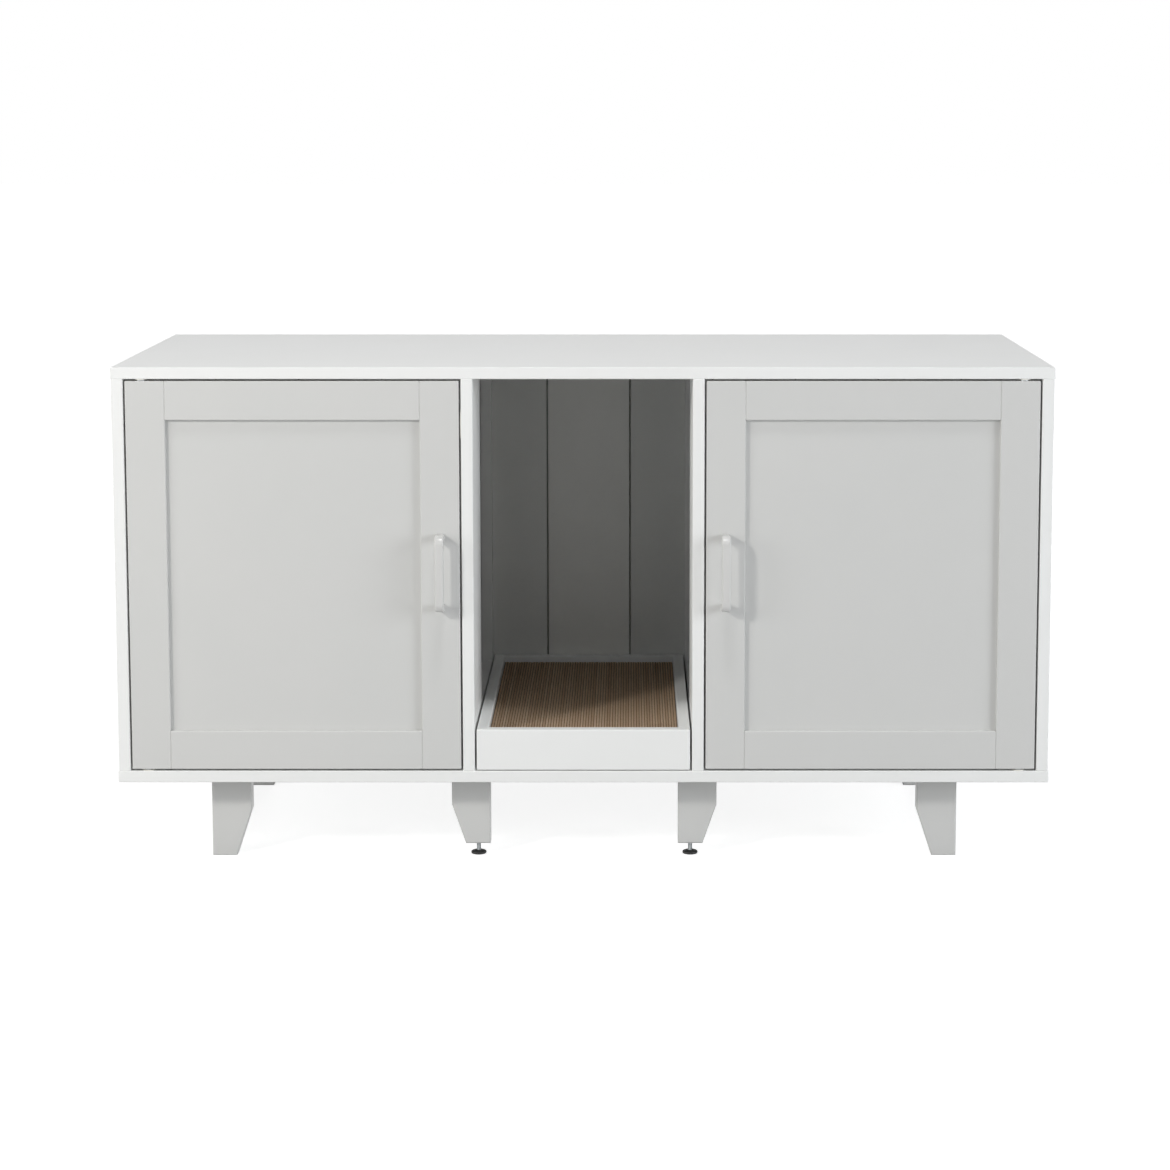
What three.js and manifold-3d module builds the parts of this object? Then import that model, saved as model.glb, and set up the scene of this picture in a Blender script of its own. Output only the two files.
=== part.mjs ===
// A cat litter box cabinet on short legs: a white board carcass with two framed doors, and between them an
// open cubby whose floor is a pull-out tray with a corrugated cardboard scratching pad.
// The cat comes in over the tray and steps sideways through a tall opening in either partition.
// Millimetres, +Z up, +X to the right as seen from the front. The front faces -Y and the feet stand on z = 0.
import * as THREE from "three";
import { mergeVertices } from "three/addons/utils/BufferGeometryUtils.js";
import Module from "manifold-3d";

const wasm = await Module();
wasm.setup();

// ---- Driving dimensions ----
// Gap that neighbouring pieces keep where one sits inside the other.
const CLEARANCE = 0.3;
// How far a cutting tool runs past the face that it enters by.
const CUT_OVERRUN = 1;
const EDGE_EASE = 0.8;
const CATCH_PLATE_EASE = 0.3;
const STRIKE_EASE = 0.4;
const ROUND_SIDES = 20;

// Carcass boards
const TOP_WIDTH = 1200;
const CARCASS_DEPTH = 500;
const BOARD = 15;
const SIDE_HEIGHT = 508;
const TOP_OVERHANG = 1;
const CUBBY_WIDTH = 280;

// Back panel, slid into grooves near the rear edges of the carcass
const BACK_THICKNESS = 6;
const BACK_INSET = 8;
const BACK_GROOVE_DEPTH = 5;
const PLANK_PITCH = 120;
const PLANK_GROOVE_WIDTH = 3;
const PLANK_GROOVE_DEPTH = 3;

// Cat opening cut in each partition
const PASS_FRONT_STILE = 168;
const PASS_REAR_STILE = 30;
const PASS_TOP_STRIP = 18;
const PASS_SILL = 50;
const PASS_CORNER_RADIUS = 4;

// Legs
const LEG_HEIGHT = 112;
const LEG_THICKNESS = 22;
const LEG_INSET = 55;
const LEG_EASE = 1.5;
const CORNER_LEG_INSET = 110.5;
const CORNER_LEG_WIDTH = 52;
const CORNER_LEG_FOOT = 32;
const CORNER_LEG_STRAIGHT = 51;
const CENTRE_LEG_OFFSET = 123;
const CENTRE_LEG_WIDTH = 50.7;
const CENTRE_LEG_FOOT = 32.5;
const CENTRE_LEG_STRAIGHT = 44;

// Screws that hold the legs, driven down through the bottom panel
const LEG_SCREW_HEAD_RADIUS = 5;
const LEG_SCREW_NECK_RADIUS = 3.5;
const LEG_SCREW_THREAD_RADIUS = 2.5;
const LEG_SCREW_HEAD_HEIGHT = 4;
const LEG_SCREW_LENGTH = 58;
const CENTRE_SCREW_OFFSET = 131;

// Levelling feet under the centre legs
const LEVELLER_HEIGHT = 16;
const LEVELLER_FOOT_RADIUS = 10;
const LEVELLER_FOOT_HEIGHT = 5;
const LEVELLER_FOOT_LIP = 1.2;
const LEVELLER_STUD_RADIUS = 3;
const LEVELLER_STUD_SEAT = 3;
const LEVELLER_STUD_GRIP = 20;
const LEVELLER_TRAVEL = 6;
const INSERT_WALL = 2;
const INSERT_LENGTH = 12;
const INSERT_FLANGE = 1.5;
const INSERT_FLANGE_HEIGHT = 1;

// Doors: frame of stiles and rails around a thin panel, set flush in the carcass
const DOOR_GAP = 2.5;
const DOOR_THICKNESS = 18;
const FRAME_WIDTH = 50;
const DOOR_PANEL_THICKNESS = 6;
const DOOR_PANEL_RECESS = 6;
const FRAME_GROOVE_DEPTH = 9;

// Pivot pins at the outer corners of a door, turning in flanged bushes
const PIVOT_FROM_EDGE = 20;
const PIVOT_FROM_FRONT = 8;
const PIVOT_RADIUS = 3;
const PIVOT_IN_STILE = 25;
const PIVOT_IN_BUSH = 7;
const COLLAR_RADIUS = 6;
const COLLAR_HEIGHT = 1.1;
const BUSH_WALL = 2;
const BUSH_LENGTH = 8.5;
const BUSH_FLANGE_RADIUS = 8;
const BUSH_FLANGE_HEIGHT = 1;

// Bar handles
const HANDLE_LENGTH = 98;
const HANDLE_WIDTH = 11.5;
const HANDLE_STAND = 28;
const HANDLE_BAR = 8;
const HANDLE_CORNER_RADIUS = 11;
const HANDLE_INNER_RADIUS = 3;
const HANDLE_EASE = 1.6;
const HANDLE_FROM_EDGE = 25;
const HANDLE_ABOVE_MIDDLE = 6.5;
const HANDLE_SCREW_RADIUS = 2;
const HANDLE_SCREW_BITE = 12;
const HANDLE_SCREW_HEAD_RADIUS = 4;
const HANDLE_SCREW_HEAD_HEIGHT = 2.4;
const HANDLE_SCREW_RIM_HEIGHT = 1.2;
const HANDLE_SCREW_CROWN_RADIUS = 2.8;

// Magnetic catches on the partitions, and the strike plates on the doors
const CATCH_HOUSING_HEIGHT = 22;
const CATCH_WIDTH = 14;
const CATCH_DEPTH = 16;
const CATCH_BELOW_TOP = 59;
const CATCH_PLATE = 1.2;
const CATCH_PLATE_HEIGHT = 33;
const CATCH_PLATE_BEHIND_FRONT = 3;
const POLE_THICKNESS = 1.2;
const POLE_HEIGHT = 18;
const POLE_STAND = 0.8;
const POLE_BITE = 6;
const POLE_INSET = 2.4;
const STRIKE_FROM_PARTITION = 2.2;
const STRIKE_THICKNESS = 1.5;
const STRIKE_WIDTH = 12;
const STRIKE_HEIGHT = 28;

// Tray and scratching pad
const TRAY_GAP = 2.5;
const TRAY_BACK_GAP = 4;
const TRAY_HEIGHT = 54.3;
const TRAY_BOARD = 15;
const TRAY_FRONT_LIFT = 1.3;
const TRAY_BASE_THICKNESS = 5;
const TRAY_BASE_LIFT = 8;
const TRAY_BASE_GROOVE = 5;
const PAD_BELOW_RIM = 8;
const PAD_GAP = 1;
const PAD_STRIP = 3.5;
const PAD_SLOT_WIDTH = 0.9;
const PAD_SLOT_DEPTH = 1.5;

// ---- Sizes that follow ----
const BODY_WIDTH = TOP_WIDTH - 2 * TOP_OVERHANG;
const BODY_BOTTOM = LEG_HEIGHT;
const FLOOR_TOP = BODY_BOTTOM + BOARD;
const CEILING = FLOOR_TOP + SIDE_HEIGHT;
const FRONT_Y = (HANDLE_STAND - CARCASS_DEPTH) / 2;
const SIDE_INNER = BODY_WIDTH / 2 - BOARD;
const PARTITION_INNER = CUBBY_WIDTH / 2;
const PARTITION_OUTER = PARTITION_INNER + BOARD;
const BACK_FACE = CARCASS_DEPTH - BACK_INSET - BACK_THICKNESS;
const LEG_SCREW_SINK = CLEARANCE;

const DOOR_WIDTH = SIDE_INNER - PARTITION_OUTER - 2 * DOOR_GAP;
const DOOR_HEIGHT = SIDE_HEIGHT - 2 * DOOR_GAP;
const DOOR_BOTTOM = FLOOR_TOP + DOOR_GAP;
const DOOR_OUTER_EDGE = SIDE_INNER - DOOR_GAP;
const DOOR_INNER_EDGE = PARTITION_OUTER + DOOR_GAP;
const HANDLE_X = DOOR_INNER_EDGE + HANDLE_FROM_EDGE;
const HANDLE_Z = DOOR_BOTTOM + DOOR_HEIGHT / 2 + HANDLE_ABOVE_MIDDLE;
const HANDLE_SCREW_REACH = HANDLE_LENGTH / 2 - HANDLE_BAR / 2;
const PIVOT_X = DOOR_OUTER_EDGE - PIVOT_FROM_EDGE;
const CATCH_Z = CEILING - CATCH_BELOW_TOP;

const TRAY_WIDTH = CUBBY_WIDTH - 2 * TRAY_GAP;
const TRAY_DEPTH = BACK_FACE - TRAY_BACK_GAP;
const TRAY_INSIDE = TRAY_WIDTH - 2 * TRAY_BOARD;
const TRAY_SIDE_LENGTH = TRAY_DEPTH - 2 * TRAY_BOARD;
const TRAY_BASE_TOP = TRAY_BASE_LIFT + TRAY_BASE_THICKNESS;

// ---- Finishes ----
function finish(color, roughness, metalness = 0) {
  return new THREE.MeshStandardMaterial({ color, roughness, metalness });
}

const WHITE_BOARD = finish("#eeeeec", 0.45);
const GREY_PAINT = finish("#d2d2ce", 0.5);
const WHITE_PLASTIC = finish("#ecebe6", 0.4);
const BLACK_PLASTIC = finish("#1c1c1d", 0.6);
const SATIN_METAL = finish("#cfcfcc", 0.35, 0.6);
const ZINC = finish("#a9abac", 0.4, 0.9);
const CARDBOARD = finish("#7a6650", 0.95);
const HARDBOARD = finish("#b9a387", 0.8);

// ---- Making and cutting solids ----
function toSolid(geometry) {
  const bare = geometry.clone();
  bare.deleteAttribute("normal");
  bare.deleteAttribute("uv");
  const merged = mergeVertices(bare, 1e-4);
  const vertProperties = new Float32Array(merged.attributes.position.array);
  const triVerts = new Uint32Array(merged.index.array);
  return new wasm.Manifold(new wasm.Mesh({ numProp: 3, vertProperties, triVerts }));
}

function toGeometry(solid) {
  const mesh = solid.getMesh();
  const indexed = new THREE.BufferGeometry();
  indexed.setAttribute("position", new THREE.BufferAttribute(new Float32Array(mesh.vertProperties), 3));
  indexed.setIndex(new THREE.BufferAttribute(new Uint32Array(mesh.triVerts), 1));
  const flat = indexed.toNonIndexed();
  flat.computeVertexNormals();
  return flat;
}

function cut(geometry, ...tools) {
  return toGeometry(tools.reduce((solid, tool) => solid.subtract(toSolid(tool)), toSolid(geometry)));
}

function join(geometry, ...others) {
  return toGeometry(others.reduce((solid, other) => solid.add(toSolid(other)), toSolid(geometry)));
}

// A plain block from its lowest corner to its highest.
function block(x0, y0, z0, x1, y1, z1) {
  const box = new THREE.BoxGeometry(x1 - x0, y1 - y0, z1 - z0);
  return box.translate((x0 + x1) / 2, (y0 + y1) / 2, (z0 + z1) / 2);
}

// A board with every edge eased: centred on X, its front face at y = 0 and its lower face at z = 0.
function board(width, depth, height, ease = EDGE_EASE) {
  const half = width / 2;
  const outline = new THREE.Shape([
    new THREE.Vector2(-half + ease, 0),
    new THREE.Vector2(half - ease, 0),
    new THREE.Vector2(half, ease),
    new THREE.Vector2(half, depth - ease),
    new THREE.Vector2(half - ease, depth),
    new THREE.Vector2(-half + ease, depth),
    new THREE.Vector2(-half, depth - ease),
    new THREE.Vector2(-half, ease),
  ]);
  return prism(outline, height, ease);
}

// An outline in XY drawn up along +Z, with its end edges eased.
function prism(outline, height, ease, curveSegments = 6) {
  const geometry = new THREE.ExtrudeGeometry(outline, {
    depth: height - 2 * ease,
    curveSegments,
    bevelEnabled: ease > 0,
    bevelThickness: ease,
    bevelSize: ease,
    bevelOffset: -ease,
    bevelSegments: 1,
  });
  return geometry.translate(0, 0, ease);
}

// A turned piece about Z, from [radius, height] pairs that start and end on the axis, or close on themselves.
function turned(profile) {
  const outline = profile.map(([r, z]) => new THREE.Vector2(r, z));
  return new THREE.LatheGeometry(outline, ROUND_SIDES).rotateX(Math.PI / 2);
}

function rod(radius, low, high) {
  return turned([[0, low], [radius, low], [radius, high], [0, high]]);
}

function piece(group, name, geometry, material, x = 0, y = 0, z = 0) {
  const mesh = new THREE.Mesh(geometry, material);
  mesh.name = name;
  mesh.position.set(x, y, z);
  group.add(mesh);
}

const cabinet = new THREE.Group();
cabinet.position.y = FRONT_Y;

const BOTH_SIDES = [["left", -1], ["right", 1]];
const PIVOT_ENDS = [["lower", 1, FLOOR_TOP], ["upper", -1, CEILING]];

// ---- Carcass ----
// Where the back panel's edges run, as a block that the neighbouring boards are grooved with.
function backGroove() {
  const reach = BACK_GROOVE_DEPTH + CLEARANCE;
  return block(
    -SIDE_INNER - reach, BACK_FACE - CLEARANCE, FLOOR_TOP - reach,
    SIDE_INNER + reach, BACK_FACE + BACK_THICKNESS + CLEARANCE, CEILING + reach,
  );
}

// Blind bore for a pivot bush, let into the face at height z and running away from the door.
function bushBore(side, inward, z) {
  const depth = BUSH_LENGTH - BUSH_FLANGE_HEIGHT + CLEARANCE;
  const radius = PIVOT_RADIUS + CLEARANCE + BUSH_WALL + CLEARANCE;
  const low = inward > 0 ? z - depth : z - CLEARANCE;
  const high = inward > 0 ? z + CLEARANCE : z + depth;
  return rod(radius, low, high).translate(side * PIVOT_X, PIVOT_FROM_FRONT, 0);
}

// Places of the leg screws, seen from above, with the name of the leg that each holds.
const CORNER_LEG_OUTER = BODY_WIDTH / 2 - CORNER_LEG_INSET;
const CORNER_SCREW_X = CORNER_LEG_OUTER - CORNER_LEG_WIDTH / 2;
const FRONT_LEG_Y = LEG_INSET;
const REAR_LEG_Y = CARCASS_DEPTH - LEG_INSET - LEG_THICKNESS;
const LEG_SCREWS = BOTH_SIDES.flatMap(([sideName, side]) => [
  ["front_" + sideName, side * CORNER_SCREW_X, FRONT_LEG_Y + LEG_THICKNESS / 2],
  ["rear_" + sideName, side * CORNER_SCREW_X, REAR_LEG_Y + LEG_THICKNESS / 2],
  ["centre_" + sideName, side * CENTRE_SCREW_OFFSET, FRONT_LEG_Y + LEG_THICKNESS / 2],
]);

// A countersunk screw with its head's flat face at height 0. A bore for it is the same, grown all round.
function legScrew(grow = 0) {
  return turned([
    [0, -LEG_SCREW_LENGTH - grow],
    [LEG_SCREW_THREAD_RADIUS + grow, -LEG_SCREW_LENGTH - grow],
    [LEG_SCREW_THREAD_RADIUS + grow, -BOARD - grow],
    [LEG_SCREW_NECK_RADIUS + grow, -BOARD - grow],
    [LEG_SCREW_NECK_RADIUS + grow, -LEG_SCREW_HEAD_HEIGHT],
    [LEG_SCREW_HEAD_RADIUS + grow, grow],
    [0, grow],
  ]);
}

// The top overhangs the sides by a hair and lies over them. Its underside is grooved for the back panel.
const topBores = BOTH_SIDES.map(([, side]) => bushBore(side, -1, CEILING));
const topPanel = board(TOP_WIDTH, CARCASS_DEPTH, BOARD).translate(0, 0, CEILING);
piece(cabinet, "top_panel", cut(topPanel, backGroove(), ...topBores), WHITE_BOARD);

// The bore that a leg screw makes through the bottom panel into a leg.
function legScrewBore(x, y) {
  return legScrew(CLEARANCE).translate(x, y, FLOOR_TOP - LEG_SCREW_SINK);
}

// The bottom panel runs under the sides and is bored for the leg screws and the lower pivot bushes.
const bottomBores = BOTH_SIDES.map(([, side]) => bushBore(side, 1, FLOOR_TOP));
const screwBores = LEG_SCREWS.map(([, x, y]) => legScrewBore(x, y));
const bottomPanel = board(TOP_WIDTH, CARCASS_DEPTH, BOARD).translate(0, 0, BODY_BOTTOM);
piece(cabinet, "bottom_panel", cut(bottomPanel, backGroove(), ...bottomBores, ...screwBores), WHITE_BOARD);

for (const [sideName, side] of BOTH_SIDES) {
  const x = side * (BODY_WIDTH - BOARD) / 2;
  const panel = board(BOARD, CARCASS_DEPTH, SIDE_HEIGHT).translate(x, 0, FLOOR_TOP);
  piece(cabinet, "side_panel_" + sideName, cut(panel, backGroove()), WHITE_BOARD);
}

// Each partition stands between the floor and the top. Its cat opening has the corners a router leaves.
function passOpening() {
  const low = PASS_FRONT_STILE;
  const high = BACK_FACE - PASS_REAR_STILE;
  const sill = PASS_SILL;
  const head = SIDE_HEIGHT - PASS_TOP_STRIP;
  const r = PASS_CORNER_RADIUS;
  const outline = new THREE.Shape();
  outline.moveTo(low + r, sill);
  outline.absarc(high - r, sill + r, r, -Math.PI / 2, 0, false);
  outline.absarc(high - r, head - r, r, 0, Math.PI / 2, false);
  outline.absarc(low + r, head - r, r, Math.PI / 2, Math.PI, false);
  outline.absarc(low + r, sill + r, r, Math.PI, Math.PI * 1.5, false);
  const through = BOARD + 2 * CUT_OVERRUN;
  // Drawn in depth and height, then turned so that it runs through the board along X.
  const opening = prism(outline, through, 0, 4).rotateX(Math.PI / 2).rotateZ(Math.PI / 2);
  return opening.translate(-through / 2, 0, 0);
}

for (const [sideName, side] of BOTH_SIDES) {
  const upright = cut(board(BOARD, BACK_FACE, SIDE_HEIGHT), passOpening());
  const x = side * (PARTITION_INNER + BOARD / 2);
  piece(cabinet, "partition_" + sideName, upright, WHITE_BOARD, x, 0, FLOOR_TOP);
}

// From inside, the back panel looks like planks: shallow V grooves at an even pitch, a plank in the middle.
function backPanel() {
  const half = SIDE_INNER + BACK_GROOVE_DEPTH;
  const front = BACK_FACE;
  const rear = BACK_FACE + BACK_THICKNESS;
  const pairs = Math.floor((SIDE_INNER - PLANK_GROOVE_WIDTH) / PLANK_PITCH + 0.5);
  const outline = new THREE.Shape();
  outline.moveTo(-half, rear);
  outline.lineTo(-half, front);
  for (let n = -pairs; n < pairs; n++) {
    const x = (n + 0.5) * PLANK_PITCH;
    outline.lineTo(x - PLANK_GROOVE_WIDTH / 2, front);
    outline.lineTo(x, front + PLANK_GROOVE_DEPTH);
    outline.lineTo(x + PLANK_GROOVE_WIDTH / 2, front);
  }
  outline.lineTo(half, front);
  outline.lineTo(half, rear);
  const panel = prism(outline, SIDE_HEIGHT + 2 * BACK_GROOVE_DEPTH, 0);
  return panel.translate(0, 0, FLOOR_TOP - BACK_GROOVE_DEPTH);
}
piece(cabinet, "back_panel", backPanel(), WHITE_BOARD);

// ---- Legs ----
// A leg cut from thick board: one side upright, the other straight at the top and then tapering to the foot.
// Its upright side is at x = 0 with its body towards +X, and its foot stands on z = 0.
function leg(width, foot, straight, height) {
  const outline = new THREE.Shape([
    new THREE.Vector2(0, 0),
    new THREE.Vector2(foot, 0),
    new THREE.Vector2(width, height - straight),
    new THREE.Vector2(width, height),
    new THREE.Vector2(0, height),
  ]);
  return prism(outline, LEG_THICKNESS, LEG_EASE).rotateX(Math.PI / 2).translate(0, LEG_THICKNESS, 0);
}

function mirrored(geometry) {
  return toGeometry(toSolid(geometry).mirror([1, 0, 0]));
}

const LEVELLER_X = CENTRE_LEG_OFFSET + CENTRE_LEG_FOOT / 2;

for (const [sideName, side] of BOTH_SIDES) {
  // The corner legs stand with the upright side outwards, the centre legs with it towards the middle.
  const corner = leg(CORNER_LEG_WIDTH, CORNER_LEG_FOOT, CORNER_LEG_STRAIGHT, LEG_HEIGHT);
  const outward = side > 0 ? mirrored(corner) : corner;
  for (const [row, y] of [["front", FRONT_LEG_Y], ["rear", REAR_LEG_Y]]) {
    const [, screwX, screwY] = LEG_SCREWS.find(([name]) => name === row + "_" + sideName);
    const placed = outward.clone().translate(side * CORNER_LEG_OUTER, y, 0);
    piece(cabinet, "leg_" + row + "_" + sideName, cut(placed, legScrewBore(screwX, screwY)), GREY_PAINT);
  }
  const centreHeight = LEG_HEIGHT - LEVELLER_HEIGHT;
  const centre = leg(CENTRE_LEG_WIDTH, CENTRE_LEG_FOOT, CENTRE_LEG_STRAIGHT, centreHeight);
  const inward = side > 0 ? centre : mirrored(centre);
  inward.translate(side * CENTRE_LEG_OFFSET, FRONT_LEG_Y, LEVELLER_HEIGHT);
  const [, screwX, screwY] = LEG_SCREWS.find(([name]) => name === "centre_" + sideName);
  const insertRadius = LEVELLER_STUD_RADIUS + CLEARANCE + INSERT_WALL + CLEARANCE;
  const insertTop = LEVELLER_HEIGHT + INSERT_LENGTH + CLEARANCE;
  const insertBore = rod(insertRadius, LEVELLER_HEIGHT - CUT_OVERRUN, insertTop);
  const studTop = LEVELLER_HEIGHT + LEVELLER_STUD_GRIP + LEVELLER_TRAVEL + CLEARANCE;
  const studBore = rod(LEVELLER_STUD_RADIUS + CLEARANCE, LEVELLER_HEIGHT, studTop);
  const bores = [insertBore, studBore].map((bore) => bore.translate(side * LEVELLER_X, screwY, 0));
  const centreLeg = cut(inward, legScrewBore(screwX, screwY), ...bores);
  piece(cabinet, "leg_centre_" + sideName, centreLeg, GREY_PAINT);
}

for (const [name, x, y] of LEG_SCREWS) {
  piece(cabinet, "leg_screw_" + name, legScrew(), ZINC, x, y, FLOOR_TOP - LEG_SCREW_SINK);
}

// ---- Levelling feet ----
// A threaded insert sits flush in the foot of the leg. The stud screws up into it and stands in a round foot.
for (const [sideName, side] of BOTH_SIDES) {
  const x = side * LEVELLER_X;
  const y = FRONT_LEG_Y + LEG_THICKNESS / 2;
  const inner = LEVELLER_STUD_RADIUS + CLEARANCE;
  const outer = inner + INSERT_WALL;
  const insert = turned([
    [inner, -INSERT_FLANGE_HEIGHT],
    [outer + INSERT_FLANGE, -INSERT_FLANGE_HEIGHT],
    [outer + INSERT_FLANGE, 0],
    [outer, 0],
    [outer, INSERT_LENGTH],
    [inner, INSERT_LENGTH],
    [inner, -INSERT_FLANGE_HEIGHT],
  ]);
  piece(cabinet, "leveller_insert_" + sideName, insert, ZINC, x, y, LEVELLER_HEIGHT);

  const seat = LEVELLER_FOOT_HEIGHT - LEVELLER_STUD_SEAT;
  const foot = turned([
    [0, 0],
    [LEVELLER_FOOT_RADIUS - LEVELLER_FOOT_LIP, 0],
    [LEVELLER_FOOT_RADIUS, LEVELLER_FOOT_LIP],
    [LEVELLER_FOOT_RADIUS, LEVELLER_FOOT_HEIGHT - LEVELLER_FOOT_LIP],
    [LEVELLER_FOOT_RADIUS - LEVELLER_FOOT_LIP, LEVELLER_FOOT_HEIGHT],
    [inner, LEVELLER_FOOT_HEIGHT],
    [inner, seat],
    [0, seat],
  ]);
  piece(cabinet, "leveller_foot_" + sideName, foot, BLACK_PLASTIC, x, y, 0);
  const stud = rod(LEVELLER_STUD_RADIUS, seat + CLEARANCE, LEVELLER_HEIGHT + LEVELLER_STUD_GRIP);
  piece(cabinet, "leveller_stud_" + sideName, stud, ZINC, x, y, 0);
}

// ---- Doors ----
// Cross-section of a frame member in its own width (x) and the door's thickness (y). A groove along the edge
// at +x takes the panel and the tongues of the rails.
function frameSection() {
  const half = FRAME_WIDTH / 2;
  const ease = EDGE_EASE;
  const grooveLow = DOOR_PANEL_RECESS - CLEARANCE;
  const grooveHigh = DOOR_PANEL_RECESS + DOOR_PANEL_THICKNESS + CLEARANCE;
  return new THREE.Shape([
    new THREE.Vector2(-half + ease, 0),
    new THREE.Vector2(half - ease, 0),
    new THREE.Vector2(half, ease),
    new THREE.Vector2(half, grooveLow),
    new THREE.Vector2(half - FRAME_GROOVE_DEPTH, grooveLow),
    new THREE.Vector2(half - FRAME_GROOVE_DEPTH, grooveHigh),
    new THREE.Vector2(half, grooveHigh),
    new THREE.Vector2(half, DOOR_THICKNESS - ease),
    new THREE.Vector2(half - ease, DOOR_THICKNESS),
    new THREE.Vector2(-half + ease, DOOR_THICKNESS),
    new THREE.Vector2(-half, DOOR_THICKNESS - ease),
    new THREE.Vector2(-half, ease),
  ]);
}

// An upright stile, grooved on the edge that faces +X, standing on z = 0.
function stile() {
  return prism(frameSection(), DOOR_HEIGHT, EDGE_EASE);
}

// A rail between the stiles, grooved on its upper edge, with a tongue at either end in the stile's groove.
function rail() {
  const length = DOOR_WIDTH - 2 * FRAME_WIDTH;
  const bar = prism(frameSection(), length, EDGE_EASE);
  bar.rotateY(-Math.PI / 2).translate(length / 2, 0, FRAME_WIDTH / 2);
  const tongueReach = length / 2 + FRAME_GROOVE_DEPTH - CLEARANCE;
  const tongue = block(
    -tongueReach, DOOR_PANEL_RECESS, EDGE_EASE,
    tongueReach, DOOR_PANEL_RECESS + DOOR_PANEL_THICKNESS, FRAME_WIDTH - FRAME_GROOVE_DEPTH,
  );
  return join(bar, tongue);
}

function turnedOver(geometry, height) {
  return toGeometry(toSolid(geometry).mirror([0, 0, 1]).translate([0, 0, height]));
}

// The bar handle is bent square with round corners: both ends come back to the door and take a screw each.
function handle() {
  const r = HANDLE_CORNER_RADIUS;
  const inner = HANDLE_INNER_RADIUS;
  const half = HANDLE_LENGTH / 2;
  const top = HANDLE_STAND;
  const under = HANDLE_STAND - HANDLE_BAR;
  const outline = new THREE.Shape();
  outline.moveTo(-half, 0);
  outline.lineTo(-half + HANDLE_BAR, 0);
  outline.absarc(-half + HANDLE_BAR + inner, under - inner, inner, Math.PI, Math.PI / 2, true);
  outline.absarc(half - HANDLE_BAR - inner, under - inner, inner, Math.PI / 2, 0, true);
  outline.lineTo(half - HANDLE_BAR, 0);
  outline.lineTo(half, 0);
  outline.absarc(half - r, top - r, r, 0, Math.PI / 2, false);
  outline.absarc(-half + r, top - r, r, Math.PI / 2, Math.PI, false);
  const bar = new THREE.ExtrudeGeometry(outline, {
    depth: HANDLE_WIDTH - 2 * HANDLE_EASE,
    curveSegments: 6,
    bevelEnabled: true,
    bevelThickness: HANDLE_EASE,
    bevelSize: HANDLE_EASE,
    bevelOffset: -HANDLE_EASE,
    bevelSegments: 2,
  });
  // Drawn in length and stand, it is stood up so that the length runs along Z and the bar lies before y = 0.
  bar.translate(0, 0, HANDLE_EASE - HANDLE_WIDTH / 2).rotateY(-Math.PI / 2).rotateZ(Math.PI);
  const bores = [-1, 1].map((end) => {
    const bore = rod(HANDLE_SCREW_RADIUS + CLEARANCE, -CUT_OVERRUN, HANDLE_SCREW_BITE + CLEARANCE);
    return bore.rotateX(Math.PI / 2).translate(0, 0, end * HANDLE_SCREW_REACH);
  });
  return cut(bar, ...bores);
}

// A pan-head screw from the door's back: the head's seat at y = 0, the shank towards -Y.
function handleScrew() {
  const reach = DOOR_THICKNESS + HANDLE_SCREW_BITE;
  return turned([
    [0, -HANDLE_SCREW_HEAD_HEIGHT],
    [HANDLE_SCREW_CROWN_RADIUS, -HANDLE_SCREW_HEAD_HEIGHT],
    [HANDLE_SCREW_HEAD_RADIUS, -HANDLE_SCREW_RIM_HEIGHT],
    [HANDLE_SCREW_HEAD_RADIUS, 0],
    [HANDLE_SCREW_RADIUS, 0],
    [HANDLE_SCREW_RADIUS, reach],
    [0, reach],
  ]).rotateX(Math.PI / 2);
}

// A pivot pin stands up from z = 0, the end face of the stile, with its collar on that face.
function pivotPin() {
  return turned([
    [0, -PIVOT_IN_STILE],
    [PIVOT_RADIUS, -PIVOT_IN_STILE],
    [PIVOT_RADIUS, 0],
    [COLLAR_RADIUS, 0],
    [COLLAR_RADIUS, COLLAR_HEIGHT],
    [PIVOT_RADIUS, COLLAR_HEIGHT],
    [PIVOT_RADIUS, DOOR_GAP + PIVOT_IN_BUSH - EDGE_EASE],
    [PIVOT_RADIUS - EDGE_EASE, DOOR_GAP + PIVOT_IN_BUSH],
    [0, DOOR_GAP + PIVOT_IN_BUSH],
  ]);
}

// A flanged bush hangs down from z = 0, the face of the carcass board, with its flange standing on that face.
function pivotBush() {
  const inner = PIVOT_RADIUS + CLEARANCE;
  const outer = inner + BUSH_WALL;
  const low = BUSH_FLANGE_HEIGHT - BUSH_LENGTH;
  return turned([
    [inner, low],
    [outer, low],
    [outer, 0],
    [BUSH_FLANGE_RADIUS, 0],
    [BUSH_FLANGE_RADIUS, BUSH_FLANGE_HEIGHT],
    [inner, BUSH_FLANGE_HEIGHT],
    [inner, low],
  ]);
}

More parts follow.
